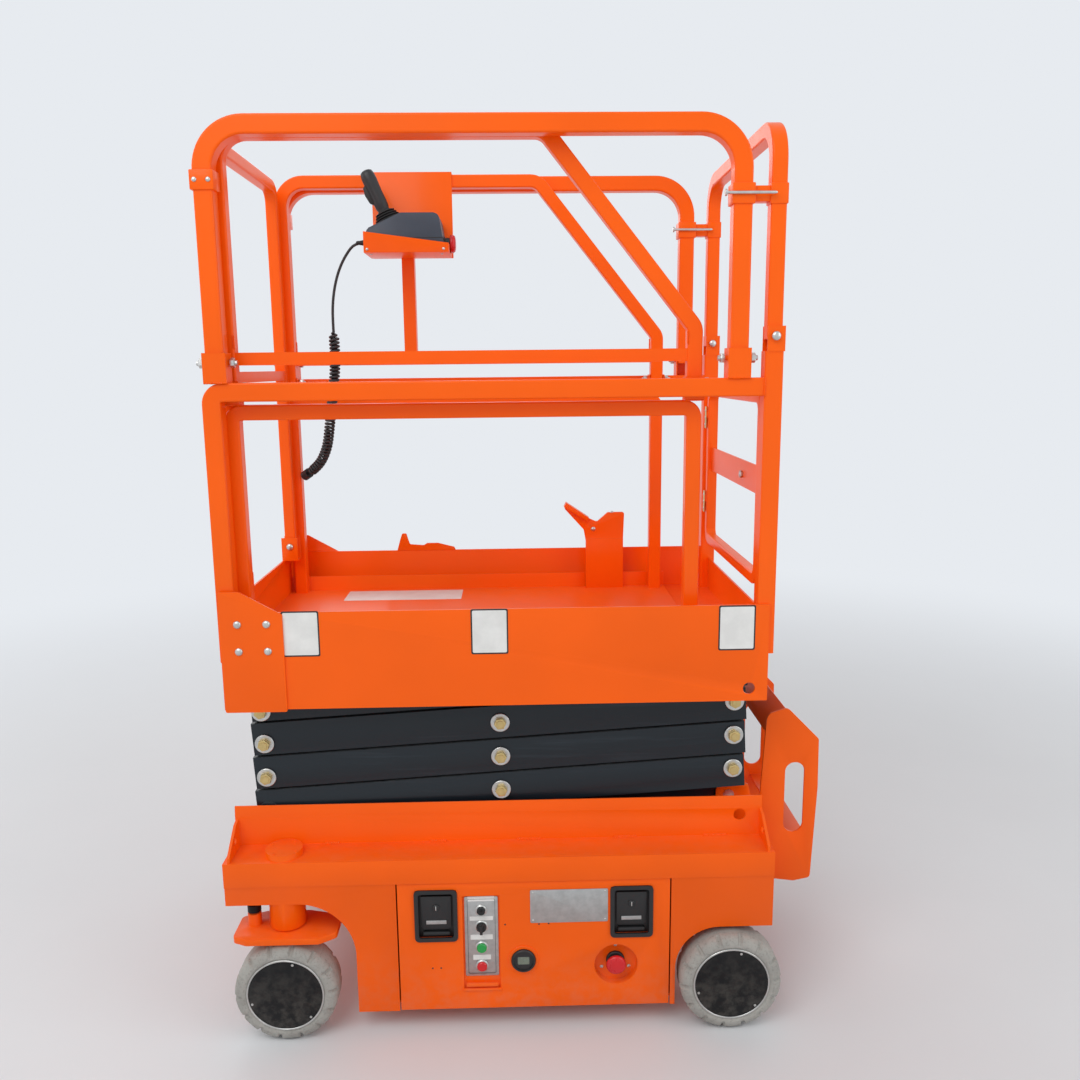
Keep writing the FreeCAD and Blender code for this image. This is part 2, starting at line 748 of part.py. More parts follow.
def arm_tube(name, outer_y, rising):
    """One near side arm lying level with its centre pin at the origin; rising arms go up to the right."""
    half = s.arm_long / 2 + s.arm_over
    y = -outer_y
    shell = box(name + "_shell", (2 * half, "arm_thick", "arm_deep"), (-half, y, "-arm_deep / 2"))
    core = box(
        name + "_core",
        (2 * half + 2, "arm_thick - 2 * arm_wall", "arm_deep - 2 * arm_wall"),
        (-half - 1, y + s.arm_wall, "-arm_deep / 2 + arm_wall"),
    )
    px, pz = arm_ends()
    bosses = [
        rod(f"{name}_boss_{i}", "boss_dia", "arm_thick - 0.02", (x, y + 0.01, z * rising))
        for i, (x, z) in enumerate(((-px, -pz), (0, 0), (px, pz)), 1)
    ]
    return fuse(name + "_tube", [cut(name + "_hollow", shell, [core]), *bosses])


def pin_places(rising):
    px, pz = arm_ends()
    return {"left": (-px, -pz * rising), "centre": (0, 0), "right": (px, pz * rising)}


def settle(obj, stage, rising):
    """Puts an arm frame at its stage, as it stands stowed."""
    turn = FreeCAD.Rotation(V(0, 1, 0), -rising * (REST - s.arm_lean))
    obj.Placement = FreeCAD.Placement(V(MID_X, 0, s.pivot_z + (stage - 0.5) * s.rise), turn)


def headed(name, reach, place_xz):
    """A shaft across the machine with a washer at each end."""
    x, z = place_xz
    shaft = rod(name, "shaft_dia", 2 * reach, (x, -reach, z))
    washers = [rod(f"{name}_head_{i}", "boss_dia", "head_tall", (x, y, z)) for i, y in enumerate((-reach, reach - s.head_tall), 1)]
    return [shaft, *washers]


def stubs(name, y_from, y_to, place_xz, dia="shaft_dia"):
    """Short pins on both sides, between two distances from the centre line."""
    x, z = place_xz
    near = rod(name, dia, y_to - y_from, (x, -y_to, z))
    return both(name + "_far", near)


def outer_arms():
    reach = s.outer_at + s.head_tall
    for stage in range(1, STAGES + 1):
        name = f"arms_outer_{stage}"
        at = pin_places(1)
        pieces = both(name + "_far", arm_tube(name, s.outer_at, 1))
        pieces += stubs(name + "_centre", INNER_IN - 4, reach, at["centre"])
        pieces += stubs(name + "_centre_head", s.outer_at, reach, at["centre"], "boss_dia")
        if stage == 1:
            axle = INNER_OUT - s.roller_wide
            pieces += stubs(name + "_axle", axle, reach, at["left"])
            pieces += stubs(name + "_axle_head", s.outer_at, reach, at["left"], "boss_dia")
            roller = (axle, axle + s.roller_wide)
            pieces += stubs(name + "_roller", *roller, at["left"], "roller_dia - 2 * roller_gap")
        else:
            pieces += headed(name + "_left", reach, at["left"])
        if stage == STAGES:
            pieces += stubs(name + "_right", s.outer_at - 5, reach + 12, at["right"])
        else:
            pieces += headed(name + "_right", reach, at["right"])
        frame = fuse(name, pieces)
        settle(frame, stage, 1)
        node(name, frame)


INNER_TIES = {1: ("left",), 2: ("right",), 3: ("left", "right"), 4: ("left", "right")}


def inner_arms():
    tie_in = 75
    for stage in range(1, STAGES + 1):
        name = f"arms_inner_{stage}"
        at = pin_places(-1)
        pieces = both(name + "_far", arm_tube(name, INNER_OUT, -1))
        for side in INNER_TIES[stage]:
            sign = -1 if side == "left" else 1
            x = sign * (s.arm_long / 2 - tie_in)
            pieces.append(rod(f"{name}_tie_{side}", 38, 2 * INNER_IN + 2, (x, -INNER_IN - 1, 0)))
        bores = [rod(f"{name}_bore_{side}", "shaft_dia + 2 * fit", 600, (at[side][0], -300, at[side][1])) for side in at]
        if stage == STAGES:
            bores = bores[1:]
            reach = INNER_OUT + s.roller_wide + 2
            pieces += stubs(name + "_axle", INNER_IN + 2, reach, at["left"])
            pieces += stubs(name + "_roller", INNER_OUT, reach - 2, at["left"], "roller_up - 2 * roller_gap")
        frame = cut(name, fuse(name + "_solid", pieces), bores)
        settle(frame, stage, -1)
        node(name, frame)


def pivot_shaft():
    reach = INNER_OUT + 8
    node("pivot_shaft", rod("pivot_shaft", "shaft_dia", 2 * reach, (PIVOT_X, -reach, "pivot_z")))


def cylinder_angle(stage_angle):
    """Slope of the lift cylinder, between the fixed shaft and the left shaft two stages up."""
    return math.degrees(math.atan(2 * math.tan(math.radians(stage_angle))))


def cylinder_length(stage_angle):
    a = math.radians(stage_angle)
    return s.arm_long * math.hypot(math.cos(a), 2 * math.sin(a))


def lift_cylinder():
    """Barrel on the fixed shaft, rod reaching to the shaft under the third stage."""
    stowed, raised = cylinder_length(REST), cylinder_length(REST + s.lift_deg)
    inside = raised - stowed + 40
    long = inside + s.barrel_foot
    eye = "barrel_dia - 12"
    bore = "rod_dia + 2 * fit"
    barrel = [
        rod("barrel_eye", eye, 56, (0, -28, 0)),
        rod("barrel_tube", "barrel_dia", long - 30, (30, 0, 0), "x"),
        rod("barrel_collar", "barrel_dia + 12", 40, (long - 40, 0, 0), "x"),
        rod("barrel_port", 22, 20, (70, 0, "barrel_dia / 2 - 4"), "z"),
    ]
    holes = [
        rod("barrel_eye_hole", "shaft_dia + 2 * fit", 60, (0, -30, 0)),
        rod("barrel_bore", bore, inside + 10, (s.barrel_foot - 5, 0, 0), "x"),
    ]
    body = cut("lift_barrel", fuse("lift_barrel_solid", barrel), holes)
    stem = [
        rod("rod_stem", "rod_dia", stowed - s.barrel_foot - 10, ("barrel_foot", 0, 0), "x"),
        rod("rod_eye", 54, 50, (stowed, -25, 0)),
    ]
    eye_hole = rod("rod_eye_hole", "shaft_dia + 4", 54, (stowed, -27, 0))
    stem = cut("lift_rod", fuse("lift_rod_solid", stem), [eye_hole])
    turn = FreeCAD.Rotation(V(0, 1, 0), 180 + cylinder_angle(REST))
    for name, obj in (("lift_barrel", body), ("lift_rod", stem)):
        obj.Placement = FreeCAD.Placement(V(PIVOT_X, 0, s.pivot_z), turn)
        node(name, obj)


# Platform
def platform():
    top_pivot = s.pivot_z + STAGES * s.rise
    length = PLAT_REAR - PLAT_FRONT
    floor = box(
        "floor", (length - 8, "2 * (plat_half - plat_plate)", "plat_plate"), (PLAT_FRONT + 4, "-(plat_half - plat_plate)", "floor_top - plat_plate")
    )
    side = prism(
        "side_plate",
        "xz",
        "-plat_half",
        [(PLAT_FRONT, s.side_low), (PLAT_REAR, s.side_low), (PLAT_REAR, s.toe_top), (PLAT_FRONT, s.toe_top)],
        "plat_plate",
        [[circle(PLAT_REAR - 40, s.side_low + 28, 13)]],
    )
    corner = prism(
        "corner_plate",
        "xz",
        -(s.plat_half + s.plat_plate),
        [
            (PLAT_FRONT + 3, s.side_low - 4, 4),
            (PLAT_FRONT + 134, s.side_low - 4, 4),
            (PLAT_FRONT + 134, s.toe_top - 4, 4),
            (PLAT_FRONT + 46, s.toe_top + 46, 6),
            (PLAT_FRONT + 3, s.toe_top + 46, 4),
        ],
        "plat_plate",
    )
    beam_at = s.outer_at + s.head_tall + 11
    beam = prism(
        "under_beam",
        "xz",
        -beam_at,
        [
            (PLAT_FRONT + 20, s.floor_top - s.plat_plate + 1),
            (PLAT_FRONT + 20, top_pivot - 10, 10),
            (PLAT_REAR - 120, top_pivot - 10),
            (PLAT_REAR - 90, top_pivot - 26, 12),
            (PLAT_REAR - 20, top_pivot - 26, 12),
            (PLAT_REAR - 20, s.floor_top - s.plat_plate + 1),
        ],
        6,
        [[circle(PIVOT_X, top_pivot, s.shaft_dia / 2 + s.fit)]],
    )
    track_low = top_pivot + s.roller_up / 2
    track = box(
        "top_track",
        (520, s.outer_at - INNER_OUT - s.arm_gap, s.floor_top - s.plat_plate - track_low + 1),
        (LEFT_X - 34, -s.outer_at, track_low),
    )
    pieces = [floor]
    for piece in (side, corner, beam, track):
        pieces += both(piece.Name + "_far", piece)
    inside = "2 * (plat_half - plat_plate)"
    inner_y = "-(plat_half - plat_plate)"
    sill_low = s.side_low + 60
    sill_x = PLAT_REAR - s.plat_plate
    sill = box("rear_sill", ("plat_plate", inside, s.floor_top - sill_low), (sill_x, inner_y, sill_low))
    between = s.rail_at - s.rail_size / 2 - 2
    kick = box("kick_plate", ("plat_plate", 2 * between, 85), (sill_x, -between, "floor_top - 1"))
    nose = box("nose_plate", ("plat_plate", inside, 52), (PLAT_FRONT + 8, inner_y, s.floor_top - s.plat_plate - 50))
    node("platform_frame", fuse("platform_frame", [*pieces, sill, kick, nose]))


def side_sleeve(name, x, y, size, low, hinge, wall, over):
    """Socket round a hoop's foot, open towards the platform, with the hinge bolt across it."""
    half = size / 2 + 2
    tall = hinge + over - low
    outer = half + wall
    front = box(name + "_front", (2 * outer, wall, tall), (x - outer, y - outer, low))
    ears = [
        box(f"{name}_ear_{i}", (wall, outer + size / 2, tall), (ear_x, y - outer, low))
        for i, ear_x in enumerate((x - outer, x + half), 1)
    ]
    bolt = rod(name + "_bolt", 10, 2 * outer + 12, (x - outer - 6, y, hinge), "x")
    return [front, *ears, bolt]


def fixed_rails():
    """Posts and side rail of the main deck, with the sockets of the side hoops and the rear end hoop."""
    front, rear = SHIFT - s.post_front, SHIFT + s.post_rear
    foot = s.floor_top
    y = -s.rail_at
    top = s.rail_z + s.rail_size / 2
    rail = tube("side_rail", "xz", y, [(front, foot), (front, s.rail_z, 24), (rear, s.rail_z)], s.rail_size)
    post = tube("corner_post", "xz", y, [(rear, foot), (rear, s.end_hinge_z - 30)], s.rail_size)
    pieces = [rail, post]
    for name, x in (("front_socket", SHIFT - s.hoop_front), ("rear_socket", SHIFT + s.hoop_rear)):
        pieces += side_sleeve(name, x, y, s.rail_size, top - 1, s.hinge_z, 2.5, 20)
    pieces += end_socket(rear, y)
    near = fuse("fixed_rail_near", pieces)
    node("fixed_rail_near", near)
    node("fixed_rail_far", fuse("fixed_rail_far", [mirror("fixed_rail_copy", near), *gate_posts()]))


def end_socket(x, y):
    """Socket of the rear end hoop on a corner post, open towards the platform."""
    size = s.inner_size
    half, wall = size / 2 + 2, 2.5
    outer = half + wall
    low = s.end_hinge_z - 31
    tall = s.end_hinge_z + 20 - low
    back = box("end_socket_back", (wall, 2 * outer, tall), (x + half, y - outer, low))
    ears = [
        box(f"end_socket_ear_{i}", (outer + size / 2, wall, tall), (x - size / 2, ear_y, low))
        for i, ear_y in enumerate((y - outer, y + half), 1)
    ]
    bolt = rod("end_socket_bolt", 10, 2 * outer + 12, (x, y - outer - 6, s.end_hinge_z))
    return [back, *ears, bolt]


def hinge_hole(name, x, y, z, axis="x"):
    start = (x - 50, y, z) if axis == "x" else (x, y - 50, z)
    return rod(name, 10 + 2 * s.fit, 100, start, axis)


def side_hoops():
    front, rear = SHIFT - s.hoop_front, SHIFT + s.hoop_rear
    y, foot = -s.rail_at, s.hinge_z - 8
    path = [(front, foot), (front, s.top_z, s.rail_bend), (rear, s.top_z, s.rail_bend), (rear, foot)]
    bar = tube("side_hoop", "xz", y, path, s.rail_size, 5)
    holes = [hinge_hole(f"side_hoop_hole_{i}", x, y, s.hinge_z) for i, x in enumerate((front, rear), 1)]
    near = cut("side_hoop_near", bar, holes)
    node("side_hoop_near", near)
    node("side_hoop_far", mirror("side_hoop_far", near))


def rear_hoop():
    x, y, foot = SHIFT + s.post_rear, s.rail_at, s.end_hinge_z - 6
    path = [(-y, foot), (-y, s.top_z, 70), (y, s.top_z, 70), (y, foot)]
    bar = tube("rear_hoop_bar", "yz", x, path, s.inner_size)
    holes = [hinge_hole(f"rear_hoop_hole_{i}", x, side, s.end_hinge_z, "y") for i, side in enumerate((-y, y), 1)]
    node("rear_hoop", cut("rear_hoop", bar, holes))


# Extension deck with its own rails
def extension():
    z = s.ext_floor
    front, rear = PLAT_FRONT + 2, SHIFT + s.inner_rear + 30
    half = s.inner_at + s.inner_size / 2 + 5
    deck = box("ext_deck", (rear - front, 2 * half, "plat_plate"), (front, -half, "ext_floor - plat_plate"))
    toe = box("ext_toe", ("plat_plate", 2 * half - 2, s.toe_top - z + 1), (front, -half + 1, "ext_floor - 1"))
    sides = both("ext_side_far", box("ext_side", (rear - front, 3, 40), (front, -half, "ext_floor - 1")))
    runner_low = s.floor_top + s.seat_gap
    runner_top = s.ext_floor - s.plat_plate + 1
    runner = box("ext_runner", (rear - front - 60, 30, runner_top - runner_low), (front + 50, -half + 2, runner_low))
    sides += both("ext_runner_far", runner)
    brackets = []
    ear = 2.5
    for i, y in enumerate((-s.front_half, s.front_half), 1):
        out = s.front_size / 2 + 2
        brackets += [
            box(f"foot_ear_{i}_{k}", (42, ear, 62), (front, ear_y, s.toe_top - 1))
            for k, ear_y in enumerate((y - out - ear, y + out), 1)
        ]
        brackets.append(box(f"foot_pad_{i}", (42, 2 * (out + ear), 3), (front, y - out - ear, s.toe_top - 1)))
        head = out + ear + 1.5
        brackets.append(rod(f"foot_bolt_{i}", 10, 2 * head, (FRONT_RAIL_X, y - head, "front_z")))
    node("extension_deck", fuse("extension_deck", [deck, toe, *sides, *brackets]))


FRONT_RAIL_X = PLAT_FRONT + 2 + 22


def inner_rails():
    front, rear = SHIFT - s.inner_front, SHIFT + s.inner_rear
    y, size = -s.inner_at, s.inner_size
    foot = s.ext_floor
    hinge = s.hinge_z - s.inner_drop
    path = [(front, foot), (front, s.inner_low_z, 20), (rear, s.inner_low_z, 20), (rear, foot)]
    pieces = [tube("inner_low", "xz", y, path, size)]
    low = s.inner_low_z + size / 2 - 1
    for name, x in (("inner_front_socket", front), ("inner_rear_socket", rear)):
        pieces += side_sleeve(name, x, y, size, low, hinge, 2, 13)
    near = fuse("inner_rail_near", pieces)
    node("inner_rail_near", near)
    node("inner_rail_far", mirror("inner_rail_far", near))


def inner_hoops():
    """Upper frames of the extension, with a bar that slopes down to the rear post."""
    front, rear = SHIFT - s.inner_front, SHIFT + s.inner_rear
    y, hinge = -s.inner_at, s.hinge_z - s.inner_drop
    foot = hinge - 6
    path = [(front, foot), (front, s.top_z, 60), (SHIFT + s.slope_x, s.top_z, 40), (rear, s.slope_z, 30), (rear, foot)]
    bar = tube("inner_hoop", "xz", y, path, s.inner_size)
    low = box("inner_hoop_low", (rear - front, "inner_bar", "inner_bar"), (front, "-inner_at - inner_bar / 2", "inner_bar_z - inner_bar / 2"))
    holes = [hinge_hole(f"inner_hoop_hole_{i}", x, y, hinge) for i, x in enumerate((front, rear), 1)]
    near = cut("inner_hoop_near", fuse("inner_hoop_solid", [bar, low]), holes)
    node("inner_hoop_near", near)
    post_x, wide = front + s.box_post - s.inner_size / 2, "inner_size"
    post = box("box_post", (wide, wide, "top_z - inner_bar_z"), (post_x, "inner_at - inner_size / 2", "inner_bar_z"))
    node("inner_hoop_far", fuse("inner_hoop_far", [mirror("inner_hoop_copy", near), post]))


def front_rail():
    """End rail of the extension, which folds flat about its feet."""
    x, y = FRONT_RAIL_X, s.front_half
    foot, top = s.front_z - 5, s.top_z - 18
    path = [(-y, foot), (-y, top, 40), (y, top, 40), (y, foot)]
    bar = tube("front_rail_bar", "yz", x, path, s.front_size)
    middle = box("front_rail_middle", ("front_size - 4", 2 * y, "front_size - 4"), (x - s.front_size / 2 + 2, -y, s.inner_low_z + 60))
    holes = [hinge_hole(f"front_rail_hole_{i}", x, side, s.front_z, "y") for i, side in enumerate((-y, y), 1)]
    node("front_rail", cut("front_rail", fuse("front_rail_solid", [bar, middle]), holes))


def gate():
    """Entry gate, which swings into the platform on two hinges of the far corner post."""
    x, y = SHIFT + s.post_rear, GATE_HALF
    low, top = s.gate_low, s.gate_top
    middle = (low + top) / 2
    sign_top = s.sign_low + s.sign_tall
    halves = [
        tube("gate_low", "yz", x, [(-y, middle + 1), (-y, low, 30), (y, low, 30), (y, middle + 1)], s.gate_size),
        tube("gate_high", "yz", x, [(-y, middle), (-y, top, 30), (y, top, 30), (y, middle)], s.gate_size),
    ]
    plate = prism(
        "gate_plate",
        "yz",
        x - 3,
        [(-y + 6, s.sign_low), (-y + 6, sign_top), (y - 6, sign_top), (y - 6, s.sign_low)],
        5,
    )
    knuckles = []
    holes = []
    for i, z in enumerate(gate_hinges(), 1):
        knuckles.append(rod(f"gate_knuckle_{i}", 10, 18, (GATE_X, GATE_AXIS, z + 9.5), "z"))
        knuckles.append(box(f"gate_leaf_{i}", (5, GATE_AXIS - 4 - y, 18), (GATE_X - 2, y, z + 9.5)))
        holes.append(rod(f"gate_pin_hole_{i}", 5 + 2 * s.fit, 30, (GATE_X, GATE_AXIS, z + 4), "z"))
    node("gate", cut("gate", fuse("gate_solid", [*halves, plate, *knuckles]), holes))


def gate_hinges():
    return (s.gate_low + 90, s.gate_top - 80)


def gate_posts():
    """The hinge halves that the far corner post carries."""
    pieces = []
    for i, z in enumerate(gate_hinges(), 1):
        pieces.append(rod(f"post_knuckle_{i}", 10, 18, (GATE_X, GATE_AXIS, z - 9), "z"))
        pieces.append(rod(f"post_pin_{i}", 5, 40, (GATE_X, GATE_AXIS, z - 9), "z"))
        pieces.append(box(f"post_leaf_{i}", (5, 12, 18), (GATE_X - 2, GATE_AXIS + 2, z - 9)))
    return pieces


# Controls
TRAY_FRONT = SHIFT - 332
TRAY_LOW = 1766
CASE_FRONT = TRAY_FRONT + 5.5
CASE_STOP_Y = 185

# The control box's lever, a ribbed boot and its grip: distance from its axis, height over the box, corner
LEVER = [
    (0, 0),
    (35, 0),
    (35, 6, 2),
    (28, 11, 2),
    (31, 16, 2),
    (22, 22, 2),
    (25, 27, 2),
    (15, 33, 2),
    (15, 44, 2),
    (18, 52, 4),
    (18, 124, 8),
    (11, 134, 4),
    (0, 134),
]


def control_box():
    """Tray hooked over the far inner hoop, the control box in it, and its lever."""
    x0, x1 = TRAY_FRONT, TRAY_FRONT + 207
    low, front = TRAY_LOW, 118
    rail = s.inner_at
    half = s.inner_size / 2
    gap = s.seat_gap
    over = s.top_z + half + gap
    plate = prism(
        "hook_plate",
        "yz",
        x0 + 7,
        [
            (rail - half - 5, low),
            (rail - half - 5, over + 5),
            (rail + half + 4, over + 5),
            (rail + half + 4, over - 20),
            (rail + half + gap, over - 20),
            (rail + half + gap, over),
            (rail - half - gap, over),
            (rail - half - gap, low),
        ],
        x1 - x0 - 4,
    )
    depth = rail - half - 5 - front
    tray = [
        box("tray_floor", (x1 - x0, depth + 1, 4), (x0, front, low)),
        prism("tray_lip", "xz", front, [(x0, low), (x1, low), (x1, low + 22), (x0, low + 50)], 4),
        box("tray_left", (4, depth + 1, 50), (x0, front, low)),
        box("tray_right", (4, depth + 1, 22), (x1 - 4, front, low)),
        box("tray_back", (x1 - x0, 4, 60), (x0, front + depth - 3, low)),
    ]
    notches = [
        box("cord_notch", (8, 24, 60), (x0 - 2, CORD_Y - 12, CORD_EXIT_Z - 12)),
        box("stop_notch", (8, 50, 60), (x1 - 6, CASE_STOP_Y - 25, low + 4)),
    ]
    node("control_tray", cut("control_tray", fuse("control_tray_solid", [plate, *tray]), notches))
    foot, head = (CASE_FRONT, low + 56), (x0 + 90.5, low + 94)
    outline = [
        (CASE_FRONT, low + 4, 6),
        (x1 - 10, low + 4, 6),
        (x1 - 24, low + 94, 14),
        (*head, 20),
        (*foot, 12),
    ]
    case = prism("case_shell", "xz", front + 6, outline, rail - half - 18 - front)
    stop = [
        rod("case_stop_collar", 34, 18, (x1 - 17, CASE_STOP_Y, low + 27), "x"),
        rod("case_stop", 44, 14, (x1, CASE_STOP_Y, low + 27), "x"),
    ]
    gland = rod("cord_gland", 16, 14, (CASE_FRONT - 13, CORD_Y, CORD_EXIT_Z), "x")
    node("control_case", fuse("control_case", [case, *stop, gland]))
    slope = V(head[0] - foot[0], 0, head[1] - foot[1]).normalize()
    normal = V(-slope.z, 0, slope.x)
    seat = V(foot[0], 180, foot[1]) + slope * 57 + normal * gap
    lever = revolved("control_lever", LEVER, seat)
    lever.Placement = FreeCAD.Placement(seat, FreeCAD.Rotation(V(0, 1, 0), normal))
    node("control_lever", lever)


# Cord: the points of its line from the box to the plug, in millimetres
CORD_DROP = [
    (SHIFT - 340, CORD_Y, CORD_EXIT_Z),
    (SHIFT - 362, CORD_Y, CORD_EXIT_Z),
    (SHIFT - 385, CORD_Y, 1768),
    (SHIFT - 403, CORD_Y, 1735),
    (SHIFT - 417, CORD_Y, 1692),
    (SHIFT - 425, CORD_Y, 1640),
    (SHIFT - 425, CORD_Y, 1581),
]
CURL = [
    (SHIFT - 425, CORD_Y, 1581),
    (SHIFT - 423, CORD_Y, 1535),
    (SHIFT - 426, CORD_Y, 1478),
    (SHIFT - 435, CORD_Y, 1418),
    (SHIFT - 446.5, CORD_Y + 6, 1349),
    (SHIFT - 456.5, CORD_Y + 20, 1297),
    (SHIFT - 471.5, CORD_Y + 34, 1263),
    (SHIFT - 492.5, CORD_Y + 50, 1235),
    (SHIFT - 519.5, CORD_Y + 70, 1217),
]
CORD_DIA = 7
CURL_DIA = 28


def cord_path(points):
    """Straight runs joined by tangent arcs; prints the radii."""
    pts = [V(*p) for p in points]
    edges = []
    radii = []
    start = pts[0]
    for i in range(1, len(pts) - 1):
        before, after = pts[i - 1] - pts[i], pts[i + 1] - pts[i]
        turn = math.pi - before.getAngle(after)
        run = 0.45 * min(before.Length, after.Length)
        radius = run / math.tan(turn / 2)
        first = pts[i] + before.normalize() * run
        last = pts[i] + after.normalize() * run
        middle = before + after
        middle.normalize()
        deep = radius / math.cos(turn / 2) - radius
        edges.append(Part.LineSegment(start, first).toShape())
        edges.append(Part.Arc(first, pts[i] + middle * deep, last).toShape())
        radii.append(round(radius))
        start = last
    edges.append(Part.LineSegment(start, pts[-1]).toShape())
    print("arc radii", radii)
    return Part.Wire(edges)


def cord_tube(name, points, dia):
    """A round tube along a route, checked against its section times its length."""
    wire = cord_path(points)
    along = (V(*points[1]) - V(*points[0])).normalize()
    ring = Part.Wire(Part.makeCircle(dia / 2, V(*points[0]), along))
    solid = wire.makePipeShell([ring], True, False)
    expected = math.pi * dia * dia / 4 * wire.Length
    print(name, "length", round(wire.Length), "volume ratio", round(solid.Volume / expected, 4))
    obj = doc.addObject("Part::Feature", name)
    obj.Shape = solid
    node(name, obj)


def cord():
    cord_tube("cord_drop", CORD_DROP, CORD_DIA)
    cord_tube("cord_curl", CURL, CURL_DIA)
    end, before = V(*CURL[-1]), V(*CURL[-2])
    along = (end - before).normalize()
    radius = 13
    post_face = SHIFT - s.inner_front + s.inner_size / 2
    edge = radius * math.sqrt(1 - along.x**2)
    plug = doc.addObject("Part::Cylinder", "cord_plug")
    plug.Placement = FreeCAD.Placement(end, FreeCAD.Rotation(V(0, 0, 1), along))
    bind(plug, "Radius", radius)
    bind(plug, "Height", (post_face + s.seat_gap - end.x + edge) / along.x)
    node("cord_plug", plug)


def pedal():
    """Foot lock of the extension on the far side: a box, its toothed arm and a stepped tread."""
    x = SHIFT + 240
    y = s.inner_at + s.inner_size / 2 - 8
    low = s.ext_floor + 130
    stand = box("pedal_box", (102, 20, 138), (x - 20, y - 12, "ext_floor"))
    arm = prism(
        "pedal_arm",
        "xz",
        y - 8,
        [
            (x - 20, low),
            (x - 26, low + 33, 10),
            (x - 78, low + 91, 4),
            (x - 72, low + 107, 4),
            (x - 14, low + 65, 8),
            (x + 10, low + 54, 8),
            (x + 40, low + 80, 6),
            (x + 85, low + 80, 6),
            (x + 82, low),
        ],
        8,
    )
    tread = prism(
        "pedal_tread",
        "xz",
        y - 21,
        [(x - 80, low + 97), (x - 74, low + 109), (x - 12, low + 67), (x - 18, low + 59)],
        31,
    )
    node("foot_lock", fuse("foot_lock", [stand, arm, tread]))


def door_fittings():
    """Latches, control plate, gauge and stop on the near door."""
    face = -SKIRT_AT
    spot = {name: at for name, *at in POCKETS}
    latches = []
    for name in ("latch_front", "latch_rear"):
        x, z, w, h, deep = spot[name]
        latches.append(box(name + "_pan", (w - 4, 4, h - 4), (x + 2, face + deep - 4, z + 2)))
        latches.append(box(name + "_paddle", (w - 24, 8, h - 50), (x + 12, face + deep - 11, z + 36)))
    node("door_latches", fuse("door_latches", latches))
    x, z, w, h, deep = spot["panel"]
    plate = box("panel_plate", (w - 6, 2, h - 36), (x + 3, face + deep - 2, z + 33))
    pieces = [plate]
    for i, (height, dia, tall) in enumerate(KNOBS, 1):
        pieces.append(rod(f"panel_knob_{i}", dia, tall, (x + w / 2, face + deep - 1 - tall, height)))
    pieces.append(rod("gauge", 56, 9, (GAUGE_X, face - 9, GAUGE_Z)))
    node("door_controls", fuse("door_controls", pieces))
    mushroom = [
        rod("stop_collar", 30, STOP_DEEP - 2, (STOP_X, face + 2, STOP_Z)),
        rod("stop_head", 45, 14, (STOP_X, face - 10, STOP_Z)),
    ]
    node("door_stop", fuse("door_stop", mushroom))


chassis()
pivot_shaft()
ladder()
inner_blocks()
doors()
door_fittings()
knuckle()
tie_rod()
wheels()
outer_arms()
inner_arms()
lift_cylinder()
platform()
fixed_rails()
side_hoops()
rear_hoop()
extension()
inner_rails()
inner_hoops()
front_rail()
gate()
control_box()
cord()
pedal()
doc.recompute()

for obj in doc.Objects:
    if "Invalid" in obj.State or "Error" in obj.State:
        raise RuntimeError(f"{obj.Name} failed: {obj.State}")
os.makedirs("parts", exist_ok=True)
whole = FreeCAD.BoundBox()
for name, obj in NODES.items():
    shape = obj.Shape
    if shape.isNull() or not shape.isValid() or not shape.Solids:
        raise RuntimeError(f"{name} has no valid solid")
    shape.exportStep(f"parts/{name}.step")
    whole.add(shape.BoundBox)
print(len(NODES), "nodes, box", [round(v, 2) for v in (whole.XMin, whole.XMax, whole.YMin, whole.YMax, whole.ZMin, whole.ZMax)])
print("lift ratio", cylinder_angle(REST), cylinder_angle(REST + s.lift_deg), cylinder_length(REST), cylinder_length(REST + s.lift_deg))
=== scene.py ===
"""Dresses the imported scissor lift: finishes, fasteners, welds, controls, tyres, cord and the studio round it.

Metres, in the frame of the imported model: +Z up, +X towards the entry ladder, -Y the side with the ground controls.
"""

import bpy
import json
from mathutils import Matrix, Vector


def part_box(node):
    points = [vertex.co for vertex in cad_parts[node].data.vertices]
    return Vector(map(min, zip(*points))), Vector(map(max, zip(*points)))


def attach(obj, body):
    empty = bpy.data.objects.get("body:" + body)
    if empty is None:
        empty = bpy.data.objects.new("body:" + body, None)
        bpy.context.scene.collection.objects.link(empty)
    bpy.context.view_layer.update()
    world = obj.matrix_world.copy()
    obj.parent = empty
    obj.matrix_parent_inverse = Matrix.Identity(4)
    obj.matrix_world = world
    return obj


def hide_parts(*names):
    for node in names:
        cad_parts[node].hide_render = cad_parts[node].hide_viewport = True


bl_info = {
    "name": "Scissor Lift Dressing",
    "version": (1, 0, 0),
    "blender": (4, 5, 0),
    "location": "View3D > Sidebar > Lift",
    "description": "Builds the visible detail of a mini scissor lift round its packed solids",
    "category": "Object",
}

import json
import math

import bmesh
import bpy
from bpy.props import FloatProperty, FloatVectorProperty, IntProperty, PointerProperty
from mathutils import Matrix, Vector

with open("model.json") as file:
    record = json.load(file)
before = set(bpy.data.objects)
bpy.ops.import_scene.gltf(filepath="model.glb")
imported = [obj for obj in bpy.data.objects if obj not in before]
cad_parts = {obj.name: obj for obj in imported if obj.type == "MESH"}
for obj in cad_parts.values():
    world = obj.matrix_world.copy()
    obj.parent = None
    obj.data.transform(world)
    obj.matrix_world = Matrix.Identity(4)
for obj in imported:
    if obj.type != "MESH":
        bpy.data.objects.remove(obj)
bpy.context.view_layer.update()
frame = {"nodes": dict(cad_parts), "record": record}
NODES = frame["nodes"]
BODIES = frame["record"]["behaviour"]["bodies"]
BODY_OF = {node: body for body, members in BODIES.items() for node in members}

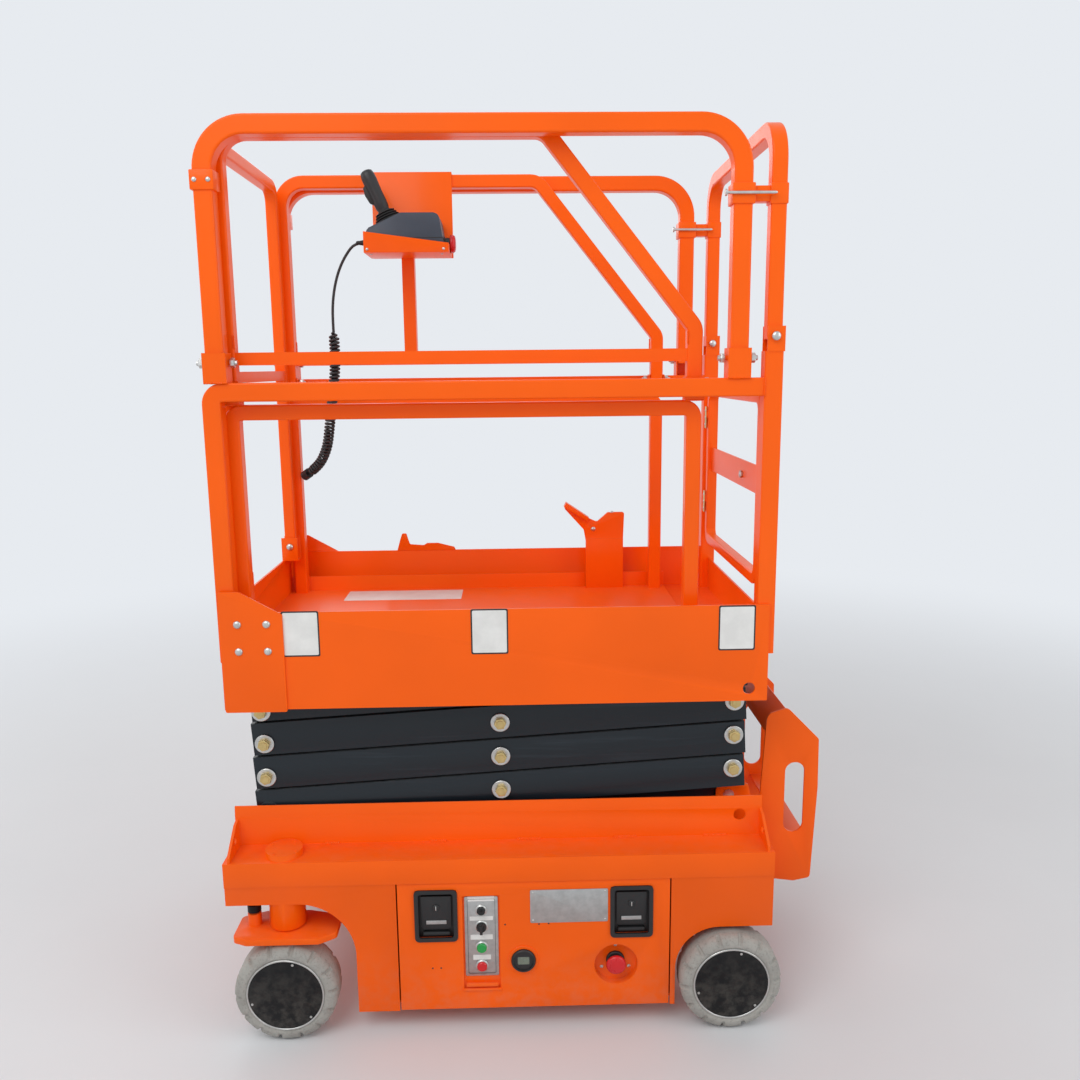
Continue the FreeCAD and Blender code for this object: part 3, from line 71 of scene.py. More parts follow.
# Places that the dressing repeats from the part's source
SHIFT = -0.0545
PIVOT_X = 0.4635
SPAN = 1.06196
PIVOT_Z = 0.498
RISE = 0.0804
STAGES = 4
HINGE_Z = 1.502
INNER_HINGE_Z = 1.452
END_HINGE_Z = 1.545
RAIL_Y = 0.316
INNER_Y = 0.271
REAR_X = 0.5075
DOOR_FACE = -0.351
WHEELS = [
    ("front_near", -0.5545, -0.34),
    ("front_far", -0.5545, 0.34),
    ("rear_near", 0.4455, -0.34),
    ("rear_far", 0.4455, 0.34),
]
AXLE_Z = 0.115
SKY = (0.80, 0.83, 0.87)


# Settings
def colour(name, description, value):
    return FloatVectorProperty(
        name=name, description=description, subtype="COLOR", size=3, min=0, max=1, default=value
    )


def length(name, description, value):
    return FloatProperty(name=name, description=description, default=value, unit="LENGTH", precision=4)


class LiftColours(bpy.types.PropertyGroup):
    """Colours of the finishes."""

    orange: colour("Orange", "Gloss paint of the chassis, platform and rails", (1.0, 0.125, 0.002))
    charcoal: colour("Charcoal", "Paint of the scissor arms", (0.009, 0.0145, 0.020))
    black: colour("Black", "Paint of the hub discs and blocks", (0.008, 0.008, 0.009))
    tyre: colour("Tyre", "Non-marking rubber", (0.40, 0.39, 0.36))
    zinc: colour("Zinc", "Plated washers, pins and screws", (0.62, 0.62, 0.60))
    gold: colour("Gold", "Yellow passivated bolts", (0.66, 0.50, 0.22))
    plate: colour("Plate", "Brushed name and control plates", (0.50, 0.50, 0.49))
    red: colour("Red", "Stop buttons", (0.62, 0.008, 0.012))
    green: colour("Green", "Start button", (0.01, 0.32, 0.06))
    white: colour("White", "Blank legend plates", (0.72, 0.72, 0.70))
    slate: colour("Slate", "Control box case", (0.035, 0.05, 0.072))


class LiftSizes(bpy.types.PropertyGroup):
    """Sizes of the dressing."""

    edge: length("Edge", "Rounding of sheet metal edges", 0.0012)
    washer: length("Washer", "Diameter of a scissor pin's washer", 0.043)
    bolt: length("Bolt", "Width of a scissor pin's bolt head", 0.024)
    nut: length("Nut", "Width of a rail hinge's nut", 0.018)
    cord: length("Cord", "Diameter of the control cord", 0.007)
    coil: length("Coil", "Outside diameter of the cord's curls", 0.028)
    pitch: length("Pitch", "Distance from one curl to the next", 0.0092)
    weld: length("Weld", "Width of a weld bead", 0.009)
    lugs: IntProperty(name="Lugs", description="Notches round each edge of a tyre", default=14, min=4)


class LiftStage(bpy.types.PropertyGroup):
    """Camera, lamps and floor."""

    lens: FloatProperty(name="Lens", description="Focal length", default=31.712, unit="CAMERA")
    key: FloatProperty(name="Key lamp", description="Power of the main lamp", default=95, unit="POWER")
    fill: FloatProperty(name="Fill lamp", description="Power of the side lamps", default=38, unit="POWER")
    world: FloatProperty(name="World", description="Strength of the sky", default=0.55)
    floor: colour("Floor", "Floor and backdrop", (0.74, 0.75, 0.77))


# Shader graphs
class Wire:
    """A socket whose arithmetic adds Math nodes."""

    def __init__(self, graph, socket):
        self.graph, self.socket = graph, socket

    def sum(self, operation, a, b):
        return self.graph.node("ShaderNodeMath", {"operation": operation}, {0: a, 1: b})

    def __add__(self, other):
        return self.sum("ADD", self, other)

    def __radd__(self, other):
        return self.sum("ADD", other, self)

    def __sub__(self, other):
        return self.sum("SUBTRACT", self, other)

    def __rsub__(self, other):
        return self.sum("SUBTRACT", other, self)

    def __mul__(self, other):
        return self.sum("MULTIPLY", self, other)

    def __rmul__(self, other):
        return self.sum("MULTIPLY", other, self)

    def __gt__(self, other):
        return self.sum("GREATER_THAN", self, other)

    def __lt__(self, other):
        return self.sum("LESS_THAN", self, other)


class Graph:
    """Nodes of one tree, added through one method."""

    def __init__(self, tree):
        self.tree = tree
        tree.nodes.clear()

    def node(self, kind, settings=None, inputs=None, output=0):
        """Adds a node, its settings first and then its sockets, and gives back one output."""
        made = self.tree.nodes.new(kind)
        for key, value in (settings or {}).items():
            if key == "stops":
                stops = made.color_ramp.elements
                while len(stops) < len(value):
                    stops.new(1)
                for stop, (place, shade) in zip(stops, value):
                    stop.position, stop.color = place, (shade, shade, shade, 1)
            else:
                setattr(made, key, value)
        for key, value in (inputs or {}).items():
            if isinstance(value, Wire):
                self.tree.links.new(value.socket, made.inputs[key])
            else:
                made.inputs[key].default_value = value
        return Wire(self, made.outputs[output]) if made.outputs else None

    def place(self, scale=(1, 1, 1)):
        """Object coordinates, stretched."""
        here = self.node("ShaderNodeTexCoord", output="Object")
        return self.node("ShaderNodeMapping", None, {"Vector": here, "Scale": scale})

    def noise(self, scale, detail=4, rough=0.55, stretch=(1, 1, 1)):
        return self.node(
            "ShaderNodeTexNoise",
            None,
            {"Vector": self.place(stretch), "Scale": scale, "Detail": detail, "Roughness": rough},
        )

    def ramp(self, factor, stops):
        return self.node("ShaderNodeValToRGB", {"stops": stops}, {"Fac": factor})

    def tint(self, factor, a, b, blend="MIX"):
        """A colour between two colours."""
        ends = [value if isinstance(value, Wire) else (*value, 1) for value in (a, b)]
        return self.node(
            "ShaderNodeMix",
            {"data_type": "RGBA", "blend_type": blend},
            {0: factor, 6: ends[0], 7: ends[1]},
            output=2,
        )

    def bump(self, height, strength, distance, normal=None):
        inputs = {"Height": height, "Strength": strength, "Distance": distance}
        if normal is not None:
            inputs["Normal"] = normal
        return self.node("ShaderNodeBump", None, inputs)

    def up(self):
        """How far a face looks up, from -1 to 1."""
        normal = self.node("ShaderNodeNewGeometry", output="Normal")
        return self.node("ShaderNodeSeparateXYZ", None, {0: normal}, output=2)

    def high(self):
        """Height over the floor at rest."""
        here = self.node("ShaderNodeTexCoord", output="Object")
        return self.node("ShaderNodeSeparateXYZ", None, {0: here}, output=2)

    def shader(self, base, rough, **inputs):
        """Principled surface; the other sockets are named by keyword."""
        names = {key.replace("_", " ").title().replace("Ior", "IOR"): value for key, value in inputs.items()}
        if not isinstance(base, Wire):
            base = (*base, 1)
        return self.node("ShaderNodeBsdfPrincipled", None, {"Base Color": base, "Roughness": rough, **names})

    def finish(self, base, rough, **inputs):
        self.node("ShaderNodeOutputMaterial", None, {"Surface": self.shader(base, rough, **inputs)})


FINISH = {}


def finish_graph(name):
    material = bpy.data.materials.new(name)
    material.use_nodes = True
    FINISH[name] = material
    return Graph(material.node_tree)


def gloss_paint(name, shade, rough, dust, peel=0.05):
    """Powder coat with slight mottling, orange peel, sheet waviness, and dust on what looks up or lies low."""
    g = finish_graph(name)
    cloud = g.noise(2.6, 3)
    fine = g.noise(38, 5, 0.65)
    darker = [channel * 0.80 for channel in shade]
    paint = g.tint(g.ramp(cloud, [(0.35, 0), (0.75, 1)]) * 0.55, shade, darker)
    film = g.ramp(g.up(), [(0.55, 0), (0.95, 1)]) * g.ramp(fine, [(0.35, 0.25), (0.7, 1)])
    low = g.ramp(g.high(), [(0.0, 1), (0.22, 0)]) * g.ramp(fine, [(0.40, 0), (0.62, 1)])
    amount = film * dust + low * (dust * 1.6)
    mixed = g.tint(amount, paint, (0.42, 0.38, 0.33))
    waves = g.bump(g.noise(7, 2), 0.12, 0.004)
    skin = g.bump(g.noise(950, 2), peel, 0.0006, waves)
    shine = rough + fine * 0.10 + amount * 0.5
    g.finish(mixed, shine, normal=skin, specular_ior_level=0.18, coat_weight=0.07, coat_roughness=0.12)


def arm_paint():
    """Charcoal paint, rubbed along the arms, with dust on what looks up."""
    g = finish_graph("charcoal_paint")
    shade = bpy.context.scene.lift_colours.charcoal
    streak = g.noise(55, 4, 0.6, (0.05, 1, 1))
    fine = g.noise(60, 5, 0.7)
    rub = g.ramp(streak, [(0.58, 0), (0.74, 1)]) * 0.35
    mixed = g.tint(rub, shade, [channel * 2.6 + 0.012 for channel in shade])
    film = g.ramp(g.up(), [(0.5, 0), (0.95, 1)]) * g.ramp(fine, [(0.3, 0.2), (0.7, 1)])
    mixed = g.tint(film * 0.2, mixed, (0.30, 0.29, 0.27))
    skin = g.bump(g.noise(700, 2), 0.06, 0.0006, g.bump(g.noise(9, 2, 0.5, (0.3, 1, 1)), 0.12, 0.003))
    g.finish(mixed, 0.30 + fine * 0.14, normal=skin, specular_ior_level=0.3, coat_weight=0.12, coat_roughness=0.2)


def plated(name, shade, rough, brushed=(1, 1, 1)):
    """Plated or brushed metal with a cloudy sheen."""
    g = finish_graph(name)
    grain = g.noise(420, 3, 0.6, brushed)
    cloud = g.noise(70, 3)
    mixed = g.tint(g.ramp(cloud, [(0.35, 0), (0.7, 1)]) * 0.6, shade, [channel * 0.72 for channel in shade])
    g.finish(mixed, rough + grain * 0.18, metallic=0.95, normal=g.bump(grain, 0.10, 0.0004))


def plastic(name, shade, rough, grain=0.15):
    g = finish_graph(name)
    fine = g.noise(900, 2)
    cloud = g.noise(24, 4, 0.6)
    mixed = g.tint(g.ramp(cloud, [(0.4, 0), (0.75, 1)]) * 0.5, shade, [channel * 1.25 + 0.004 for channel in shade])
    g.finish(mixed, rough + cloud * 0.12, normal=g.bump(fine, grain, 0.0004))


def rubber(name, shade, dirt):
    """Pale tyre rubber, scuffed and dirty where it rolls."""
    g = finish_graph(name)
    cloud = g.noise(16, 5, 0.7)
    fine = g.noise(180, 4, 0.7)
    spots = g.ramp(cloud, [(0.38, 0), (0.70, 1)])
    mixed = g.tint(spots * 0.65, shade, [channel * 0.62 for channel in shade])
    mixed = g.tint(g.ramp(fine, [(0.52, 0), (0.75, 1)]) * dirt, mixed, (0.10, 0.095, 0.085))
    skin = g.bump(fine, 0.25, 0.0012, g.bump(cloud, 0.2, 0.002))
    g.finish(mixed, 0.78 + fine * 0.15, normal=skin)


def make_finishes():
    c = bpy.context.scene.lift_colours
    gloss_paint("orange_paint", c.orange, 0.27, 0.07)
    gloss_paint("black_paint", c.black, 0.42, 0.10)
    arm_paint()
    plated("zinc", c.zinc, 0.26)
    plated("gold_zinc", c.gold, 0.28)
    plated("brushed_plate", c.plate, 0.30, (0.04, 1, 1))
    plastic("black_plastic", (0.012, 0.012, 0.013), 0.40)
    plastic("black_rubber", (0.010, 0.010, 0.010), 0.55, 0.3)
    plastic("slate_plastic", c.slate, 0.36)
    plastic("red_plastic", c.red, 0.22, 0.03)
    plastic("green_plastic", c.green, 0.24, 0.03)
    plastic("white_plate", c.white, 0.45, 0.04)
    plastic("display", (0.16, 0.19, 0.15), 0.2, 0.02)
    plastic("cord_sheath", (0.012, 0.012, 0.013), 0.36, 0.05)
    rubber("tyre_rubber", c.tyre, 0.5)


# Mesh tools
def piece(name, mesh, body, finish, replaces=(), sharp=35):
    """Makes a mesh a finished object that rides on a body."""
    if isinstance(mesh, bmesh.types.BMesh):
        made = bpy.data.meshes.new(name)
        mesh.to_mesh(made)
        mesh.free()
        mesh = made
    mesh.materials.clear()
    mesh.materials.append(FINISH[finish])
    mesh.polygons.foreach_set("use_smooth", [True] * len(mesh.polygons))
    mesh.set_sharp_from_angle(angle=math.radians(sharp))
    mesh.update()
    obj = bpy.data.objects.new(name, mesh)
    bpy.context.scene.collection.objects.link(obj)
    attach(obj, body)
    if replaces:
        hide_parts(*replaces)
    return obj


def aimed(at, aim):
    """A matrix that takes +Z to a direction at a place."""
    return Matrix.Translation(Vector(at)) @ Vector(aim).to_track_quat("Z", "Y").to_matrix().to_4x4()


def block(bm, low, high, edge=0.001, segments=2, turn=None):
    """Adds a box with rounded edges."""
    low, high = Vector(low), Vector(high)
    made = bmesh.ops.create_cube(bm, size=1)["verts"]
    size, middle = high - low, (low + high) / 2
    for v in made:
        v.co = Vector(a * b for a, b in zip(v.co, size)) + middle
    edges = list({e for v in made for e in v.link_edges})
    result = bmesh.ops.bevel(
        bm, geom=edges, offset=edge, segments=segments, profile=0.5, affect="EDGES", clamp_overlap=True
    )
    if turn is not None:
        verts = {v for f in result["faces"] for v in f.verts}
        bmesh.ops.transform(bm, matrix=turn, verts=list(verts))
    return bm


def lathe(bm, profile, matrix, segments=32):
    """Adds a round piece from (radius, height) points about +Z; it starts and ends on the axis."""
    rings = []
    for radius, height in profile:
        if radius < 1e-6:
            rings.append([bm.verts.new(matrix @ Vector((0, 0, height)))])
        else:
            turn = 2 * math.pi / segments
            rings.append(
                [
                    bm.verts.new(matrix @ Vector((radius * math.cos(i * turn), radius * math.sin(i * turn), height)))
                    for i in range(segments)
                ]
            )
    for low, high in zip(rings, rings[1:]):
        for i in range(segments):
            k = (i + 1) % segments
            corners = [low[i % len(low)], low[k % len(low)], high[k % len(high)], high[i % len(high)]]
            corners = list(dict.fromkeys(corners))
            if len(corners) > 2:
                bm.faces.new(corners)
    return bm


def disc(radius, low, high, edge=0.0008):
    """Profile of a flat round piece with rounded rims."""
    return [
        (0, low),
        (radius - edge, low),
        (radius, low + edge),
        (radius, high - edge),
        (radius - edge, high),
        (0, high),
    ]


def dome(radius, tall, steps=6):
    """Profile of a domed head."""
    arc = [(radius * math.cos(a), tall * math.sin(a)) for a in [math.pi / 2 * i / steps for i in range(steps)]]
    return [(0, 0), *arc, (0, tall)]


def extrude(bm, outline, matrix, thick, edge=0.0008):
    """Adds a plate from (a, b) points in the matrix's XY plane, grown along its Z."""
    low = [bm.verts.new(matrix @ Vector((a, b, 0))) for a, b in outline]
    high = [bm.verts.new(matrix @ Vector((a, b, thick))) for a, b in outline]
    count = len(outline)
    faces = [bm.faces.new(low[::-1]), bm.faces.new(high)]
    for i in range(count):
        k = (i + 1) % count
        faces.append(bm.faces.new((low[i], low[k], high[k], high[i])))
    rims = [e for f in faces[:2] for e in f.edges]
    if edge:
        bmesh.ops.bevel(bm, geom=rims, offset=edge, segments=2, profile=0.5, affect="EDGES", clamp_overlap=True)
    return bm


def round_corners(width, height, radius, steps=5):
    """Outline of a rounded rectangle about the origin."""
    points = []
    for cx, cy, start in (
        (width / 2 - radius, height / 2 - radius, 0),
        (radius - width / 2, height / 2 - radius, 90),
        (radius - width / 2, radius - height / 2, 180),
        (width / 2 - radius, radius - height / 2, 270),
    ):
        for i in range(steps + 1):
            a = math.radians(start + 90 * i / steps)
            points.append((cx + radius * math.cos(a), cy + radius * math.sin(a)))
    return points


def frame_plate(bm, outer, inner, matrix, thick):
    """Adds a flat ring between two outlines with the same number of points."""
    loops = []
    for outline, level in ((outer, 0), (outer, thick), (inner, thick), (inner, 0)):
        loops.append([bm.verts.new(matrix @ Vector((a, b, level))) for a, b in outline])
    count = len(outer)
    for a, b in zip(loops, loops[1:] + loops[:1]):
        for i in range(count):
            k = (i + 1) % count
            bm.faces.new((a[i], a[k], b[k], b[i]))
    bmesh.ops.recalc_face_normals(bm, faces=bm.faces[:])
    return bm


def softened(outline, steps=5):
    """Points of an outline whose (a, b, radius) corners are rounded."""
    points = []
    for i, (a, b, radius) in enumerate(outline):
        here = Vector((a, b))
        back = (Vector(outline[i - 1][:2]) - here).normalized()
        ahead = (Vector(outline[(i + 1) % len(outline)][:2]) - here).normalized()
        half = back.angle(ahead) / 2
        middle = here + (back + ahead).normalized() * (radius / math.sin(half))
        start = here + back * (radius / math.tan(half)) - middle
        end = here + ahead * (radius / math.tan(half)) - middle
        for k in range(steps + 1):
            points.append(tuple(middle + start.lerp(end, k / steps).normalized() * radius))
    return points


# Geometry Nodes
def group_tree(name, inputs):
    tree = bpy.data.node_groups.new(name, "GeometryNodeTree")
    graph = Graph(tree)
    for label, kind, value in [("Geometry", "Geometry", None), *inputs]:
        socket = tree.interface.new_socket(name=label, in_out="INPUT", socket_type="NodeSocket" + kind)
        if value is not None:
            socket.default_value = value
    tree.interface.new_socket(name="Geometry", in_out="OUTPUT", socket_type="NodeSocketGeometry")
    start = tree.nodes.new("NodeGroupInput")
    return graph, {socket.name: Wire(graph, socket) for socket in start.outputs if socket.name}


def close_tree(graph, geometry, finish):
    """Ends a tree in Realize Instances and Set Material."""
    real = graph.node("GeometryNodeRealizeInstances", None, {"Geometry": geometry})
    painted = graph.node("GeometryNodeSetMaterial", None, {"Geometry": real, "Material": finish})
    graph.node("NodeGroupOutput", None, {"Geometry": painted})
    return graph.tree


def fastener_tree():
    """One fastener on every point, turned to the point's aim, with a random turn about it."""
    inputs = [("Fastener", "Object", None), ("Size", "Float", 1.0), ("Seed", "Int", 0), ("Finish", "Material", None)]
    graph, given = group_tree("Fasteners", inputs)
    aim = graph.node("GeometryNodeInputNamedAttribute", {"data_type": "FLOAT_VECTOR"}, {"Name": "aim"})
    turn = graph.node("FunctionNodeAlignRotationToVector", {"axis": "Z"}, {"Vector": aim})
    spin = graph.node("FunctionNodeRandomValue", {"data_type": "FLOAT"}, {2: 0.0, 3: 6.28, "Seed": given["Seed"]}, 1)
    about = graph.node("FunctionNodeAxisAngleToRotation", None, {"Axis": (0, 0, 1), "Angle": spin})
    turned = graph.node(
        "FunctionNodeRotateRotation", {"rotation_space": "LOCAL"}, {"Rotation": turn, "Rotate By": about}
    )
    shape = graph.node("GeometryNodeObjectInfo", None, {"Object": given["Fastener"]}, "Geometry")
    placed = graph.node(
        "GeometryNodeInstanceOnPoints",
        None,
        {"Points": given["Geometry"], "Instance": shape, "Rotation": turned, "Scale": given["Size"]},
    )
    return close_tree(graph, placed, given["Finish"])


def weld_tree():
    """Overlapping ripples along edges, as a weld bead."""
    inputs = [("Ripple", "Float", 0.0036), ("Width", "Float", 0.009), ("Seed", "Int", 3), ("Finish", "Material", None)]
    graph, given = group_tree("Welds", inputs)
    curve = graph.node("GeometryNodeMeshToCurve", None, {"Mesh": given["Geometry"]})
    points = graph.node("GeometryNodeResampleCurve", {"mode": "LENGTH"}, {"Curve": curve, "Length": given["Ripple"]})
    tangent = graph.node("GeometryNodeInputTangent")
    turn = graph.node("FunctionNodeAlignRotationToVector", {"axis": "X"}, {"Vector": tangent})
    ripple = graph.node(
        "GeometryNodeMeshUVSphere", None, {"Segments": 10, "Rings": 6, "Radius": given["Width"] * 0.5}
    )
    vary = graph.node("FunctionNodeRandomValue", {"data_type": "FLOAT"}, {2: 0.85, 3: 1.1, "Seed": given["Seed"]}, 1)
    size = graph.node("ShaderNodeCombineXYZ", None, {0: 0.62, 1: vary, 2: vary * 0.8})
    placed = graph.node(
        "GeometryNodeInstanceOnPoints",
        None,
        {"Points": points, "Instance": ripple, "Rotation": turn, "Scale": size},
    )
    return close_tree(graph, placed, given["Finish"])


TREES = {}


def grow(name, mesh, tree, values, body, finish):
    """Runs a tree on a mesh and keeps its result as a plain piece."""
    seed = bpy.data.objects.new(name + "_seed", mesh)
    bpy.context.scene.collection.objects.link(seed)
    modifier = seed.modifiers.new("nodes", "NODES")
    modifier.node_group = tree
    sockets = {item.name: item.identifier for item in tree.interface.items_tree if item.in_out == "INPUT"}
    for key, value in {**values, "Finish": FINISH[finish]}.items():
        modifier[sockets[key]] = value
    deps = bpy.context.evaluated_depsgraph_get()
    plain = bpy.data.meshes.new_from_object(seed.evaluated_get(deps))
    seed.modifiers.clear()
    bpy.data.objects.remove(seed)
    plain.name = name
    return piece(name, plain, body, finish)


def scatter(name, template, points, body, finish, size=1.0):
    """One fastener at each (place, aim)."""
    mesh = bpy.data.meshes.new(name)
    mesh.from_pydata([place for place, aim in points], [], [])
    aims = mesh.attributes.new("aim", "FLOAT_VECTOR", "POINT")
    aims.data.foreach_set("vector", [value for place, aim in points for value in aim])
    values = {"Fastener": TEMPLATES[template], "Size": size, "Seed": 5}
    return grow(name, mesh, TREES["fasteners"], values, body, finish)


def weld(name, lines, body, finish="orange_paint", width=0.008):
    """Beads along straight lines."""
    mesh = bpy.data.meshes.new(name)
    points = [point for line in lines for point in line]
    mesh.from_pydata(points, [(i, i + 1) for i in range(0, len(points), 2)], [])
    values = {"Ripple": width * 0.42, "Width": width, "Seed": 3}
    return grow(name, mesh, TREES["welds"], values, body, finish)


TEMPLATES = {}


def template(name, bm):
    mesh = bpy.data.meshes.new(name)
    bm.to_mesh(mesh)
    bm.free()
    obj = bpy.data.objects.new(name, mesh)
    bpy.context.scene.collection.objects.link(obj)
    TEMPLATES[name] = obj


def make_templates():
    """Fastener shapes a metre wide, scaled when they are placed."""
    flat = Matrix()
    bm = lathe(bmesh.new(), [(0.28, 0), (0.5, 0), (0.5, 0.045), (0.48, 0.06), (0.28, 0.06), (0.28, 0)], flat, 36)
    template("washer", bm)
    hexagon = [(0.577 * math.cos(math.radians(60 * i)), 0.577 * math.sin(math.radians(60 * i))) for i in range(6)]
    bm = extrude(bmesh.new(), hexagon, flat, 0.42, 0.05)
    lathe(bm, [(0, 0.42), (0.36, 0.42), (0.34, 0.47), (0, 0.47)], flat, 18)
    template("hex", bm)
    bm = extrude(bmesh.new(), hexagon, flat, 0.5, 0.05)
    lathe(bm, [(0, 0.5), (0.30, 0.5), (0.30, 0.74), (0.26, 0.78), (0, 0.78)], flat, 16)
    template("nut", bm)
    bm = lathe(bmesh.new(), dome(0.5, 0.28), flat, 24)
    template("button", bm)
    bm = lathe(bmesh.new(), [(0, 0), (0.5, 0), (0.46, 0.16), (0.22, 0.2), (0.18, 0.1), (0, 0.1)], flat, 20)
    template("screw", bm)
    bm = lathe(bmesh.new(), dome(0.5, 0.22), flat, 14)
    template("rivet", bm)


# Cord
CORD_ROUTE = [
    (-0.3945, 0.176, 1.796),
    (-0.4165, 0.176, 1.796),
    (-0.4395, 0.176, 1.768),
    (-0.4575, 0.176, 1.735),
    (-0.4715, 0.176, 1.692),
    (-0.4795, 0.176, 1.640),
    (-0.4795, 0.176, 1.581),
]
CURL_ROUTE = [
    (-0.4795, 0.176, 1.581),
    (-0.4775, 0.176, 1.535),
    (-0.4805, 0.176, 1.478),
    (-0.4895, 0.176, 1.418),
    (-0.5010, 0.182, 1.349),
    (-0.5110, 0.196, 1.297),
    (-0.5260, 0.210, 1.263),
    (-0.5470, 0.226, 1.235),
    (-0.5740, 0.246, 1.217),
]


def nurbs(name, points, radius=0.0):
    """A curve object of one smooth spline."""
    curve = bpy.data.curves.new(name, "CURVE")
    curve.dimensions = "3D"
    curve.bevel_depth = radius
    curve.bevel_resolution = 2
    curve.resolution_u = 4
    curve.use_fill_caps = True
    spline = curve.splines.new("NURBS")
    spline.points.add(len(points) - 1)
    for point, place in zip(spline.points, points):
        point.co = (*place, 1)
    spline.order_u = 3
    spline.use_endpoint_u = True
    obj = bpy.data.objects.new(name, curve)
    bpy.context.scene.collection.objects.link(obj)
    return obj


def line_of(points):
    """The points of a route's smooth line."""
    route = nurbs("route", points)
    route.data.resolution_u = 16
    deps = bpy.context.evaluated_depsgraph_get()
    mesh = bpy.data.meshes.new_from_object(route.evaluated_get(deps))
    line = [v.co.copy() for v in mesh.vertices]
    bpy.data.objects.remove(route)
    bpy.data.meshes.remove(mesh)
    return line


def helix(line, radius, pitch, per_turn=13):
    """Points of a curly cord round a line; the first and last turns open out from it."""
    reach = [0.0]
    for a, b in zip(line, line[1:]):
        reach.append(reach[-1] + (b - a).length)
    total = reach[-1]
    count = int(total / pitch * per_turn)
    side = Vector((1, 0, 0))
    points = []
    k = 0
    for i in range(count + 1):
        s = total * i / count
        while k < len(line) - 2 and reach[k + 1] < s:
            k += 1
        along = (line[k + 1] - line[k]).normalized()
        side = (side - along * side.dot(along)).normalized()
        other = along.cross(side)
        here = line[k].lerp(line[k + 1], (s - reach[k]) / (reach[k + 1] - reach[k]))
        open_out = min(1, s / (1.6 * pitch), (total - s) / (1.6 * pitch))
        angle = 2 * math.pi * i / per_turn
        points.append(here + (side * math.cos(angle) + other * math.sin(angle)) * radius * open_out)
    return points


# Painted metal
SHEETS = (
    "base_frame",
    "ladder",
    "door_near",
    "door_far",
    "knuckle_near",
    "knuckle_far",
    "platform_frame",
    "extension_deck",
    "gate",
    "control_tray",
    "foot_lock",
)
ARMS = tuple(f"arms_{side}_{k}" for side in ("inner", "outer") for k in range(1, 5))
PLAIN = {
    "orange_paint": (
        "fixed_rail_near",
        "fixed_rail_far",
        "side_hoop_near",
        "side_hoop_far",
        "rear_hoop",
        "inner_rail_near",
        "inner_rail_far",
        "inner_hoop_near",
        "inner_hoop_far",
        "front_rail",
    ),
    "black_paint": ("inner_blocks", "lift_barrel", "tie_rod", *(f"hub_{wheel[0]}" for wheel in WHEELS)),
    "zinc": ("pivot_shaft", "lift_rod"),
    "black_plastic": ("cord_plug",),
}


def rounded_copy(node, edge):
    """A merged copy of a node's mesh with its sharp edges rounded."""
    bm = bmesh.new()
    bm.from_mesh(NODES[node].data)
    bmesh.ops.remove_doubles(bm, verts=bm.verts[:], dist=1e-5)
    bmesh.ops.dissolve_limit(bm, angle_limit=math.radians(0.4), verts=bm.verts[:], edges=bm.edges[:])
    mesh = bpy.data.meshes.new(node + "_painted")
    bm.to_mesh(mesh)
    bm.free()
    seed = bpy.data.objects.new("seed", mesh)
    bpy.context.scene.collection.objects.link(seed)
    bevel = seed.modifiers.new("edges", "BEVEL")
    bevel.width = edge
    bevel.segments = 2
    bevel.limit_method = "ANGLE"
    bevel.angle_limit = math.radians(50)
    bevel.use_clamp_overlap = True
    deps = bpy.context.evaluated_depsgraph_get()
    done = bpy.data.meshes.new_from_object(seed.evaluated_get(deps))
    bpy.data.objects.remove(seed)
    return done


def finish_node(node, finish):
    data = NODES[node].data
    data.materials.clear()
    data.materials.append(FINISH[finish])


